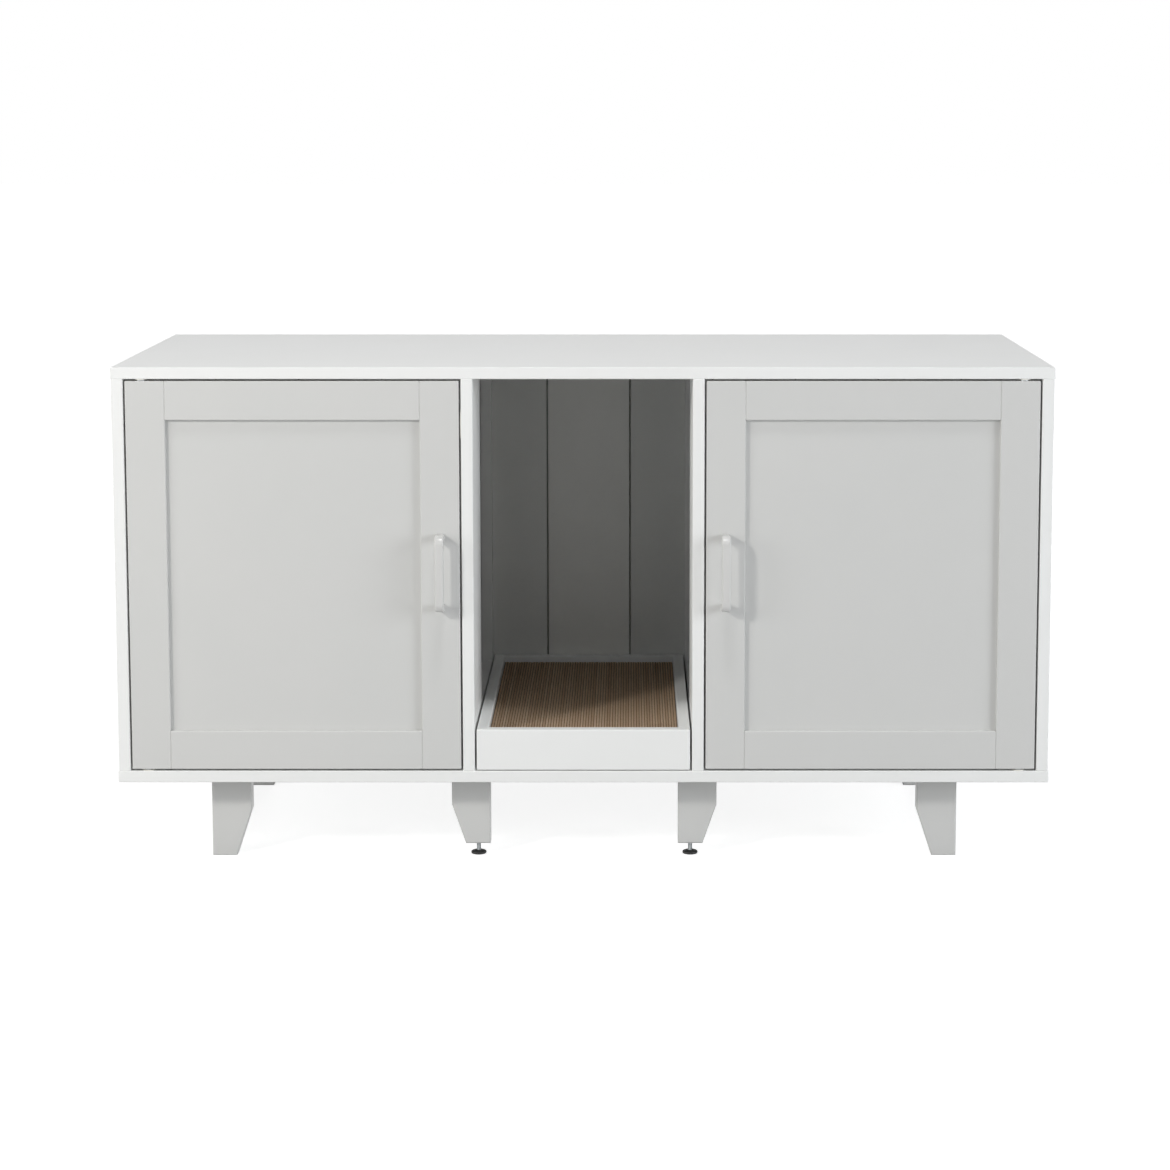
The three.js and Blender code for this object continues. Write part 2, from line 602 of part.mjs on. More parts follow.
// A magnetic catch, centred on z = 0: a housing with the ends of two pole plates standing out of its front,
// on a taller thin plate that is screwed to the partition. On the left the plate runs forward beside the door.
function magneticCatch(side) {
  const poleFront = DOOR_THICKNESS + STRIKE_THICKNESS + CLEARANCE;
  const front = poleFront + POLE_STAND;
  const back = poleFront + CATCH_DEPTH;
  const plateFront = side < 0 ? CATCH_PLATE_BEHIND_FRONT : poleFront;
  const plate = board(CATCH_PLATE, back - plateFront, CATCH_PLATE_HEIGHT, CATCH_PLATE_EASE);
  plate.translate(side * (PARTITION_OUTER + CATCH_PLATE / 2), plateFront, -CATCH_PLATE_HEIGHT / 2);
  const housing = board(CATCH_WIDTH, back - front, CATCH_HOUSING_HEIGHT);
  housing.translate(side * (PARTITION_OUTER + CATCH_WIDTH / 2), front, -CATCH_HOUSING_HEIGHT / 2);
  const inner = PARTITION_OUTER + CATCH_PLATE + POLE_INSET;
  const outer = PARTITION_OUTER + CATCH_WIDTH - POLE_INSET;
  const poles = [inner, outer].map((x) => block(
    side * x - POLE_THICKNESS / 2, poleFront, -POLE_HEIGHT / 2,
    side * x + POLE_THICKNESS / 2, front + POLE_BITE, POLE_HEIGHT / 2,
  ));
  return join(plate, housing, ...poles);
}

for (const [sideName, side] of BOTH_SIDES) {
  const door = new THREE.Group();
  cabinet.add(door);
  const middle = side * (DOOR_OUTER_EDGE + DOOR_INNER_EDGE) / 2;

  const panelWidth = DOOR_WIDTH - 2 * FRAME_WIDTH + 2 * (FRAME_GROOVE_DEPTH - CLEARANCE);
  const panelHeight = DOOR_HEIGHT - 2 * FRAME_WIDTH + 2 * (FRAME_GROOVE_DEPTH - CLEARANCE);
  const panelLow = DOOR_BOTTOM + FRAME_WIDTH - FRAME_GROOVE_DEPTH + CLEARANCE;
  const panel = board(panelWidth, DOOR_PANEL_THICKNESS, panelHeight);
  piece(door, "door_panel_" + sideName, panel, GREY_PAINT, middle, DOOR_PANEL_RECESS, panelLow);

  piece(door, "door_rail_lower_" + sideName, rail(), GREY_PAINT, middle, 0, DOOR_BOTTOM);
  const upperRail = turnedOver(rail(), FRAME_WIDTH);
  const upperRailZ = DOOR_BOTTOM + DOOR_HEIGHT - FRAME_WIDTH;
  piece(door, "door_rail_upper_" + sideName, upperRail, GREY_PAINT, middle, 0, upperRailZ);

  // The outer stile is bored at both ends for the pivot pins, the inner one through it for the handle screws.
  const outerX = side * (DOOR_OUTER_EDGE - FRAME_WIDTH / 2);
  const outerStile = (side < 0 ? stile() : mirrored(stile())).translate(outerX, 0, DOOR_BOTTOM);
  const pinBores = PIVOT_ENDS.map(([, inward, z]) => {
    const end = z + inward * DOOR_GAP;
    const mouth = end - inward * CUT_OVERRUN;
    const foot = end + inward * (PIVOT_IN_STILE + CLEARANCE);
    const bore = rod(PIVOT_RADIUS + CLEARANCE, Math.min(mouth, foot), Math.max(mouth, foot));
    return bore.translate(side * PIVOT_X, PIVOT_FROM_FRONT, 0);
  });
  piece(door, "door_stile_outer_" + sideName, cut(outerStile, ...pinBores), GREY_PAINT);

  const innerX = side * (DOOR_INNER_EDGE + FRAME_WIDTH / 2);
  const innerStile = (side < 0 ? mirrored(stile()) : stile()).translate(innerX, 0, DOOR_BOTTOM);
  const screwBores = [-1, 1].map((end) => {
    const bore = rod(HANDLE_SCREW_RADIUS + CLEARANCE, -DOOR_THICKNESS - CUT_OVERRUN, CUT_OVERRUN);
    return bore.rotateX(Math.PI / 2).translate(side * HANDLE_X, 0, HANDLE_Z + end * HANDLE_SCREW_REACH);
  });
  piece(door, "door_stile_inner_" + sideName, cut(innerStile, ...screwBores), GREY_PAINT);

  piece(door, "handle_" + sideName, handle(), SATIN_METAL, side * HANDLE_X, 0, HANDLE_Z);
  for (const [endName, end] of [["lower", -1], ["upper", 1]]) {
    const name = "handle_screw_" + sideName + "_" + endName;
    const z = HANDLE_Z + end * HANDLE_SCREW_REACH;
    piece(door, name, handleScrew(), ZINC, side * HANDLE_X, DOOR_THICKNESS, z);
  }

  for (const [endName, inward, z] of PIVOT_ENDS) {
    const name = sideName + "_" + endName;
    const x = side * PIVOT_X;
    const pin = inward > 0 ? turnedOver(pivotPin(), 0) : pivotPin();
    piece(door, "pivot_pin_" + name, pin, ZINC, x, PIVOT_FROM_FRONT, z + inward * DOOR_GAP);
    const bush = inward > 0 ? pivotBush() : turnedOver(pivotBush(), 0);
    piece(cabinet, "pivot_bush_" + name, bush, WHITE_PLASTIC, x, PIVOT_FROM_FRONT, z);
  }

  // The strike plate faces the catch across a hair's gap.
  const strikeX = side * (PARTITION_OUTER + STRIKE_FROM_PARTITION + STRIKE_WIDTH / 2);
  const strike = board(STRIKE_WIDTH, STRIKE_THICKNESS, STRIKE_HEIGHT, STRIKE_EASE);
  const strikeZ = CATCH_Z - STRIKE_HEIGHT / 2;
  piece(door, "strike_plate_" + sideName, strike, ZINC, strikeX, DOOR_THICKNESS, strikeZ);
  piece(cabinet, "catch_" + sideName, magneticCatch(side), WHITE_PLASTIC, 0, 0, CATCH_Z);
}

// ---- Tray ----
// Four boards round a thin base that sits in grooves on their inner faces.
const tray = new THREE.Group();
tray.position.z = FLOOR_TOP;
cabinet.add(tray);

function trayBaseGroove() {
  const reach = TRAY_BASE_GROOVE + CLEARANCE;
  const half = TRAY_INSIDE / 2 + reach;
  return block(
    -half, TRAY_BOARD - reach, TRAY_BASE_LIFT - CLEARANCE,
    half, TRAY_DEPTH - TRAY_BOARD + reach, TRAY_BASE_TOP + CLEARANCE,
  );
}

const trayFront = board(TRAY_WIDTH, TRAY_BOARD, TRAY_HEIGHT - TRAY_FRONT_LIFT);
trayFront.translate(0, 0, TRAY_FRONT_LIFT);
piece(tray, "tray_front", cut(trayFront, trayBaseGroove()), WHITE_BOARD);
const trayBack = board(TRAY_WIDTH, TRAY_BOARD, TRAY_HEIGHT).translate(0, TRAY_DEPTH - TRAY_BOARD, 0);
piece(tray, "tray_back", cut(trayBack, trayBaseGroove()), WHITE_BOARD);
for (const [sideName, side] of BOTH_SIDES) {
  const x = side * (TRAY_WIDTH - TRAY_BOARD) / 2;
  const wall = board(TRAY_BOARD, TRAY_SIDE_LENGTH, TRAY_HEIGHT).translate(x, TRAY_BOARD, 0);
  piece(tray, "tray_side_" + sideName, cut(wall, trayBaseGroove()), WHITE_BOARD);
}
const baseWidth = TRAY_INSIDE + 2 * TRAY_BASE_GROOVE;
const baseDepth = TRAY_SIDE_LENGTH + 2 * TRAY_BASE_GROOVE;
const trayBase = board(baseWidth, baseDepth, TRAY_BASE_THICKNESS);
piece(tray, "tray_base", trayBase, HARDBOARD, 0, TRAY_BOARD - TRAY_BASE_GROOVE, TRAY_BASE_LIFT);

// The pad is a stack of corrugated cardboard strips on edge, glued side by side, running from front to back.
// A narrow slot stands between one strip and the next at the scratching surface.
function scratchPad() {
  const width = TRAY_INSIDE - 2 * PAD_GAP;
  const length = TRAY_SIDE_LENGTH - 2 * PAD_GAP;
  const height = TRAY_HEIGHT - PAD_BELOW_RIM - TRAY_BASE_TOP;
  const strips = Math.round(width / PAD_STRIP);
  const strip = width / strips;
  const outline = new THREE.Shape();
  outline.moveTo(-width / 2, 0);
  outline.lineTo(width / 2, 0);
  outline.lineTo(width / 2, height);
  for (let n = strips - 1; n > 0; n--) {
    const x = -width / 2 + n * strip;
    outline.lineTo(x + PAD_SLOT_WIDTH / 2, height);
    outline.lineTo(x, height - PAD_SLOT_DEPTH);
    outline.lineTo(x - PAD_SLOT_WIDTH / 2, height);
  }
  outline.lineTo(-width / 2, height);
  return prism(outline, length, 0).rotateX(Math.PI / 2).translate(0, length, 0);
}
piece(tray, "scratch_pad", scratchPad(), CARDBOARD, 0, TRAY_BOARD + PAD_GAP, TRAY_BASE_TOP);

export default cabinet;
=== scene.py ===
# A white cat litter box cabinet with two grey doors, an open cubby with a pull-out tray, and six short legs.
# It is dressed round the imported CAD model. Metres, +Z up; the front faces -Y and the feet stand on z = 0.
import math

import bmesh
import bpy
from mathutils import Matrix, Vector


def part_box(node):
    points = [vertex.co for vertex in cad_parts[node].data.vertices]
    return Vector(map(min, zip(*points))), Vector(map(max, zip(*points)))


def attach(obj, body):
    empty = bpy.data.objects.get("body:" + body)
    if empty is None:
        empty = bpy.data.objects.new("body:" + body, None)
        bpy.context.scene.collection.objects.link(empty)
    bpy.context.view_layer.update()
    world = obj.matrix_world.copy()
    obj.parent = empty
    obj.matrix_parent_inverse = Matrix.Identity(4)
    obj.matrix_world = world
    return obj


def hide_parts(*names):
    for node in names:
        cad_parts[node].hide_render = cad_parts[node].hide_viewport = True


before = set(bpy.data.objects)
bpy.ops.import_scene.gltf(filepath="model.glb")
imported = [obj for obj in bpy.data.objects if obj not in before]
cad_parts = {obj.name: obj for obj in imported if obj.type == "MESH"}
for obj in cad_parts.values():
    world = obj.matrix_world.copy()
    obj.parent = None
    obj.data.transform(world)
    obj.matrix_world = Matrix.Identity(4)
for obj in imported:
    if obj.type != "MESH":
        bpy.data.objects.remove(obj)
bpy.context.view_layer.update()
MM = 0.001


# ---- Carcass boards ----
# Top, bottom, sides and partitions: 15 mm particle board faced with white melamine, its edges closed with a
# glued band. The press plate leaves a very fine pearl grain, which takes the shine off the white.
def linear(code):
    """A colour written as an sRGB hex value, as the linear RGBA that the shaders take."""
    channels = [int(code[i : i + 2], 16) / 255 for i in (1, 3, 5)]
    return tuple(c / 12.92 if c <= 0.04045 else ((c + 0.055) / 1.055) ** 2.4 for c in channels) + (1.0,)


def add_node(tree, kind, inputs=None, **settings):
    """Adds a node with its settings. Each input takes a value, or a socket that it is linked from."""
    node = tree.nodes.new(kind)
    for name, value in settings.items():
        setattr(node, name, value)
    for key, value in (inputs or {}).items():
        if isinstance(value, bpy.types.NodeSocket):
            tree.links.new(value, node.inputs[key])
        else:
            node.inputs[key].default_value = value
    return node


def new_finish(name, color, roughness, metallic=0.0, ior=1.5):
    """A material with a plain Principled shader, and with it its tree, shader and Object coordinates."""
    material = bpy.data.materials.new(name)
    material.use_nodes = True
    tree = material.node_tree
    shader = tree.nodes["Principled BSDF"]
    for key, value in {"Base Color": color, "Roughness": roughness, "Metallic": metallic, "IOR": ior}.items():
        shader.inputs[key].default_value = value
    place = add_node(tree, "ShaderNodeTexCoord").outputs["Object"]
    return material, tree, shader, place


def uneven_color(tree, shader, place, one, other, patch, detail=2.0):
    """Lets the colour drift slowly between two close tones, in patches of a real size."""
    noise = add_node(tree, "ShaderNodeTexNoise", {"Vector": place, "Scale": 1 / patch, "Detail": detail})
    tones = add_node(
        tree, "ShaderNodeMix",
        {"Factor": noise.outputs["Fac"], "A": linear(one), "B": linear(other)}, data_type="RGBA",
    )
    tree.links.new(tones.outputs["Result"], shader.inputs["Base Color"])
    return tones


def uneven_gloss(tree, shader, place, low, high, patch, detail=3.0):
    """Lets the roughness drift between two values, in patches of a real size."""
    noise = add_node(tree, "ShaderNodeTexNoise", {"Vector": place, "Scale": 1 / patch, "Detail": detail})
    span = add_node(
        tree, "ShaderNodeMapRange", {"Value": noise.outputs["Fac"], "To Min": low, "To Max": high}
    )
    tree.links.new(span.outputs["Result"], shader.inputs["Roughness"])


def grain(tree, shader, place, size, depth, detail=2.0):
    """A fine uneven relief of a real grain size and depth."""
    noise = add_node(tree, "ShaderNodeTexNoise", {"Vector": place, "Scale": 1 / size, "Detail": detail})
    bump = add_node(
        tree, "ShaderNodeBump", {"Height": noise.outputs["Fac"], "Distance": depth, "Strength": 1.0}
    )
    tree.links.new(bump.outputs["Normal"], shader.inputs["Normal"])


def dress(node_name, material):
    """Gives a CAD node that keeps its own shape its finish."""
    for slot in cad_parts[node_name].material_slots:
        slot.material = material


PEARL_GRAIN = 0.9 * MM  # a real pearl grain is about 0.3 mm, and is drawn coarser so that it shows
PEARL_DEPTH = 0.012 * MM
MELAMINE_PATCH = 220 * MM
melamine, tree, shader, place = new_finish(
    "white melamine, pearl pressed", linear("#f1f2f1"), roughness=0.42, ior=1.52
)
uneven_color(tree, shader, place, "#f2f3f2", "#eff0ee", MELAMINE_PATCH)
uneven_gloss(tree, shader, place, 0.36, 0.48, MELAMINE_PATCH / 3)
grain(tree, shader, place, PEARL_GRAIN, PEARL_DEPTH)
for board in [
    "top_panel", "bottom_panel", "side_panel_left", "side_panel_right", "partition_left", "partition_right",
]:
    dress(board, melamine)

# ---- Back panel ----
# One 6 mm fibreboard sheet with V grooves run in it to look like planks, sprayed white. It slides in grooves
# of the boards round it. The spray is duller than melamine and leaves a slight orange peel, and every other
# plank is toned down a little, so that they look like separate boards.
PLANK_PITCH = 120 * MM
GROOVE_SHADE_HALF = 1.5 * MM  # the bottom of a groove is painted darker than its edges, as painted shade
PEEL_GRAIN = 2.2 * MM
PEEL_DEPTH = 0.02 * MM
back_paint, tree, shader, place = new_finish(
    "white paint sprayed on fibreboard", linear("#ededea"), roughness=0.55, ior=1.47
)
paint = uneven_color(tree, shader, place, "#efefec", "#ebebe7", MELAMINE_PATCH)
across = add_node(tree, "ShaderNodeSeparateXYZ", {"Vector": place}).outputs["X"]
counted = add_node(tree, "ShaderNodeMath", {0: across, 1: PLANK_PITCH}, operation="DIVIDE").outputs["Value"]
plank = add_node(tree, "ShaderNodeMath", {0: counted}, operation="ROUND").outputs["Value"]
every_other = add_node(tree, "ShaderNodeMath", {0: plank, 1: 1.0}, operation="PINGPONG").outputs["Value"]
toned = add_node(
    tree, "ShaderNodeMix",
    {"Factor": every_other, "A": linear("#ffffff"), "B": linear("#f3f4f5")}, data_type="RGBA",
)
planks = add_node(
    tree, "ShaderNodeMix", {"Factor": 1.0, "A": paint.outputs["Result"], "B": toned.outputs["Result"]},
    data_type="RGBA", blend_type="MULTIPLY",
)
half_plank = PLANK_PITCH / 2
# The bottom of each groove is painted darker than the plank, as painted shade in the narrow V.
from_middle = add_node(tree, "ShaderNodeMath", {0: across, 1: half_plank}, operation="PINGPONG")
groove = add_node(
    tree, "ShaderNodeMapRange",
    {
        "Value": from_middle.outputs["Value"],
        "From Min": half_plank - GROOVE_SHADE_HALF, "From Max": half_plank - GROOVE_SHADE_HALF / 3,
    },
)
groove_shaded = add_node(
    tree, "ShaderNodeMix",
    {"Factor": groove.outputs["Result"], "A": planks.outputs["Result"], "B": linear("#8e8d89")},
    data_type="RGBA",
)
tree.links.new(groove_shaded.outputs["Result"], shader.inputs["Base Color"])
grain(tree, shader, place, PEEL_GRAIN, PEEL_DEPTH)
dress("back_panel", back_paint)

# ---- Legs ----
# Six legs sawn from 22 mm fibreboard, tapered on one side, their edges rounded over and sprayed with the same
# warm light grey satin lacquer as the doors. The lacquer flows out to a soft orange peel.
LEGS = [f"{row}_{side}" for row in ["front", "rear", "centre"] for side in ["left", "right"]]
LACQUER_PATCH = 140 * MM
lacquer, tree, shader, place = new_finish(
    "light grey satin lacquer", linear("#d2d3d1"), roughness=0.4, ior=1.47
)
uneven_color(tree, shader, place, "#d4d4d2", "#d0d1cf", LACQUER_PATCH)
uneven_gloss(tree, shader, place, 0.34, 0.46, LACQUER_PATCH / 2)
grain(tree, shader, place, PEEL_GRAIN, PEEL_DEPTH)
for leg in LEGS:
    dress(f"leg_{leg}", lacquer)


# ---- Leg screws ----
# Six countersunk steel screws, 58 mm long, go down through the bottom panel into the legs. Zinc plating gives
# them a pale bluish metal with cloudy patches. Their heads lie just below the panel's upper face.
def turned(profile, sides):
    """A mesh turned on a lathe: (radius, height) pairs run up its outside, or close round a bore."""
    body = bmesh.new()
    bored = profile[0] == profile[-1]
    turns = [2 * math.pi * k / sides for k in range(sides)]
    rings = []
    for radius, height in profile[:-1] if bored else profile:
        if radius == 0:
            rings.append([body.verts.new((0, 0, height))] * sides)
        else:
            ring = [(radius * math.cos(t), radius * math.sin(t), height) for t in turns]
            rings.append([body.verts.new(corner) for corner in ring])
    if bored:
        rings.append(rings[0])
    for lower, upper in zip(rings, rings[1:]):
        for k in range(sides):
            after = (k + 1) % sides
            corners = list(dict.fromkeys([lower[k], lower[after], upper[after], upper[k]]))
            if len(corners) > 2:
                body.faces.new(corners)
    return to_mesh(body)


def to_mesh(body):
    """The finished mesh of a bmesh, with its faces pointing outwards."""
    bmesh.ops.recalc_face_normals(body, faces=body.faces)
    mesh = bpy.data.meshes.new("work")
    body.to_mesh(mesh)
    body.free()
    return mesh


def prism(outline, low, high):
    """A mesh with an outline of (x, y) points drawn up from one height to another."""
    body = bmesh.new()
    floor = [body.verts.new((x, y, low)) for x, y in outline]
    face = body.faces.new(floor)
    rise = bmesh.ops.extrude_face_region(body, geom=[face])["geom"]
    lid = [part for part in rise if isinstance(part, bmesh.types.BMVert)]
    bmesh.ops.translate(body, verts=lid, vec=(0, 0, high - low))
    return to_mesh(body)


def evaluated(mesh, kind, **settings):
    """The mesh after one modifier."""
    worker = bpy.data.objects.new("work", mesh)
    bpy.context.scene.collection.objects.link(worker)
    modifier = worker.modifiers.new("work", kind)
    for name, value in settings.items():
        setattr(modifier, name, value)
    bpy.context.view_layer.update()
    result = bpy.data.meshes.new_from_object(worker.evaluated_get(bpy.context.evaluated_depsgraph_get()))
    bpy.data.objects.remove(worker)
    return result


def cut_away(mesh, tool):
    """The mesh with the tool's shape cut out of it."""
    cutter = bpy.data.objects.new("cutter", tool)
    bpy.context.scene.collection.objects.link(cutter)
    result = evaluated(mesh, "BOOLEAN", operation="DIFFERENCE", solver="EXACT", object=cutter)
    bpy.data.objects.remove(cutter)
    return result


def softened(mesh, width, segments=2, angle=35):
    """The mesh with its sharp edges rounded over."""
    return evaluated(
        mesh, "BEVEL", width=width, segments=segments, limit_method="ANGLE", angle_limit=math.radians(angle),
        harden_normals=False,
    )


CRISP_EDGE = math.radians(32)  # faces that meet at a greater angle show a crisp edge


def fit(name, mesh, material, body, slot, *stands_for):
    """Puts a finished mesh into the cabinet as a piece that moves with a body and stands for CAD nodes."""
    mesh.materials.clear()
    mesh.materials.append(material)
    mesh.shade_smooth()
    mesh.set_sharp_from_angle(angle=CRISP_EDGE)
    piece = bpy.data.objects.new(name, mesh)
    bpy.context.scene.collection.objects.link(piece)
    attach(piece, body)
    if stands_for:
        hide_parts(*stands_for)


ON_SHANK = 1e-6  # a point this close to the shank's radius takes the thread


def cut_thread(mesh, radius, depth, pitch):
    """Presses a helical thread into every vertex that lies on a round shank of that radius."""
    for vertex in mesh.vertices:
        x, y, z = vertex.co
        if abs(math.hypot(x, y) - radius) < ON_SHANK:
            flank = abs(((z / pitch - math.atan2(y, x) / (2 * math.pi)) % 1) * 2 - 1)
            drawn_in = 1 - depth * flank / radius
            vertex.co = (x * drawn_in, y * drawn_in, z)


def shank(radius, low, high, pitch, steps=4):
    """Profile points up a shank, close enough together to take a thread."""
    count = max(2, round((high - low) / pitch * steps))
    return [(radius, low + (high - low) * n / count) for n in range(count + 1)]


def cross_recess(reach, width, low, high):
    """The shape of a cross driver's tip: the end of one arm, repeated at every quarter of a turn."""
    half = width / 2
    arm_end = [(reach, -half), (reach, half), (half, half)]
    quarters = [(1, 0), (0, 1), (-1, 0), (0, -1)]
    outline = [(c * x - s * y, s * x + c * y) for c, s in quarters for x, y in arm_end]
    return prism(outline, low, high)


def screw_model(name, profile, sides, radius, thread_depth, pitch, recess):
    """One finished screw, kept as an object that the node group copies."""
    mesh = turned(profile, sides)
    cut_thread(mesh, radius, thread_depth, pitch)
    model = bpy.data.objects.new(name, cut_away(mesh, cross_recess(*recess)))
    bpy.context.scene.collection.objects.link(model)
    return model


def middle(node_name):
    """The centre of a CAD node's box."""
    low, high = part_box(node_name)
    return (low + high) / 2


def socket(tree, name, kind, direction="INPUT"):
    """Gives a node group a named input or output."""
    tree.interface.new_socket(name=name, in_out=direction, socket_type=kind)


ZINC_CLOUD = 3 * MM
zinc, tree, shader, place = new_finish("zinc plated steel", linear("#b9bdbf"), roughness=0.34, metallic=1.0)
uneven_color(tree, shader, place, "#c4c8ca", "#aeb2b3", ZINC_CLOUD)
uneven_gloss(tree, shader, place, 0.26, 0.44, ZINC_CLOUD)

SCREW_PITCH = 2.6 * MM
SCREW_THREAD_DEPTH = 0.7 * MM
SCREW_POINT = 4 * MM
SCREW_TIP = 0.5 * MM
SCREW_HEAD_HEIGHT = 4 * MM
SCREW_RIM_HEIGHT = 0.4 * MM
SCREW_RECESS = (2.6 * MM, 1.1 * MM, -2.6 * MM, 1 * MM)  # the cross recess: reach, width, bottom and top
LEG_SCREWS = [f"leg_screw_{leg}" for leg in LEGS]
low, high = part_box(LEG_SCREWS[0])
screw_length = high.z - low.z
head_radius = (high.x - low.x) / 2
thread_radius = head_radius / 2
neck_radius = head_radius * 0.7
tip_radius = thread_radius * 0.45
board_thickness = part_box("bottom_panel")[1].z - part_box("bottom_panel")[0].z
leg_screw = screw_model(
    "leg screw",
    [(0, -screw_length), (tip_radius, -screw_length + SCREW_TIP)]
    + shank(thread_radius, -screw_length + SCREW_POINT, -board_thickness, SCREW_PITCH)
    + [
        (neck_radius, -board_thickness), (neck_radius, -SCREW_HEAD_HEIGHT), (head_radius, -SCREW_RIM_HEIGHT),
        (head_radius, 0), (0, 0),
    ],
    sides=24, radius=thread_radius, thread_depth=SCREW_THREAD_DEPTH, pitch=SCREW_PITCH, recess=SCREW_RECESS,
)

screws = bpy.data.node_groups.new("a screw at each place", "GeometryNodeTree")
socket(screws, "Places", "NodeSocketGeometry")
socket(screws, "Screw", "NodeSocketObject")
socket(screws, "Metal", "NodeSocketMaterial")
socket(screws, "Greatest turn", "NodeSocketFloat")
socket(screws, "Axis", "NodeSocketVector")
socket(screws, "Screws", "NodeSocketGeometry", "OUTPUT")
given = add_node(screws, "NodeGroupInput").outputs
shape = add_node(screws, "GeometryNodeObjectInfo", {"Object": given["Screw"]})
turn = add_node(
    screws, "FunctionNodeRandomValue", {"Max": given["Greatest turn"], "Seed": 7}, data_type="FLOAT"
)
upright = add_node(screws, "FunctionNodeAlignRotationToVector", {"Vector": given["Axis"]}, axis="Z")
spun = add_node(
    screws, "FunctionNodeAxisAngleToRotation", {"Axis": (0, 0, 1), "Angle": turn.outputs["Value"]}
)
facing = add_node(
    screws, "FunctionNodeRotateRotation",
    {"Rotation": upright.outputs["Rotation"], "Rotate By": spun.outputs["Rotation"]}, rotation_space="LOCAL",
)
placed = add_node(
    screws, "GeometryNodeInstanceOnPoints",
    {
        "Points": given["Places"], "Instance": shape.outputs["Geometry"],
        "Rotation": facing.outputs["Rotation"],
    },
)
real = add_node(screws, "GeometryNodeRealizeInstances", {"Geometry": placed.outputs["Instances"]})
coated = add_node(
    screws, "GeometryNodeSetMaterial", {"Geometry": real.outputs["Geometry"], "Material": given["Metal"]}
)
add_node(screws, "NodeGroupOutput", {"Screws": coated.outputs["Geometry"]})


def grown(places, group, **inputs):
    """Runs a node group on a mesh of points and gives back the plain mesh that it makes."""
    worker = bpy.data.objects.new("work", places)
    bpy.context.scene.collection.objects.link(worker)
    modifier = worker.modifiers.new("work", "NODES")
    modifier.node_group = group
    for item in group.interface.items_tree:
        key = item.name.replace(" ", "_").lower()
        if item.in_out == "INPUT" and key in inputs:
            modifier[item.identifier] = inputs[key]
    bpy.context.view_layer.update()
    result = bpy.data.meshes.new_from_object(worker.evaluated_get(bpy.context.evaluated_depsgraph_get()))
    bpy.data.objects.remove(worker)
    return result


def points(places):
    """A mesh of loose points for a node group to start from."""
    mesh = bpy.data.meshes.new("places")
    mesh.from_pydata([tuple(p) for p in places], [], [])
    return mesh


def driven(model, seats, axis):
    """Screws with their heads at these seats, facing along the axis, each stopped at its own angle."""
    return grown(points(seats), screws, screw=model, metal=zinc, greatest_turn=math.pi, axis=axis)


seats = [Vector((middle(n).x, middle(n).y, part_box(n)[1].z)) for n in LEG_SCREWS]
leg_screws = driven(leg_screw, seats, (0, 0, 1))
bpy.data.objects.remove(leg_screw)
fit("leg_screws", leg_screws, zinc, "carcass", "zinc", *LEG_SCREWS)

# ---- Levelling feet ----
# Under each centre leg a threaded steel stud turns in a flanged insert and stands in a round foot, moulded
# from black polypropylene, which leaves a dull skin. The cabinet is levelled by turning the foot by hand.
BLACK_PATCH = 6 * MM
BLACK_GRAIN = 0.6 * MM
BLACK_DEPTH = 0.03 * MM
black_plastic, tree, shader, place = new_finish(
    "black moulded polypropylene", linear("#1b1b1c"), roughness=0.52, ior=1.49
)
uneven_gloss(tree, shader, place, 0.44, 0.6, BLACK_PATCH)
grain(tree, shader, place, BLACK_GRAIN, BLACK_DEPTH)

STUD_PITCH = 1.0 * MM
STUD_THREAD_DEPTH = 0.5 * MM
STUD_CHAMFER = 0.6 * MM
STUD_PLAY = 0.3 * MM
FOOT_SOCKET = 3 * MM
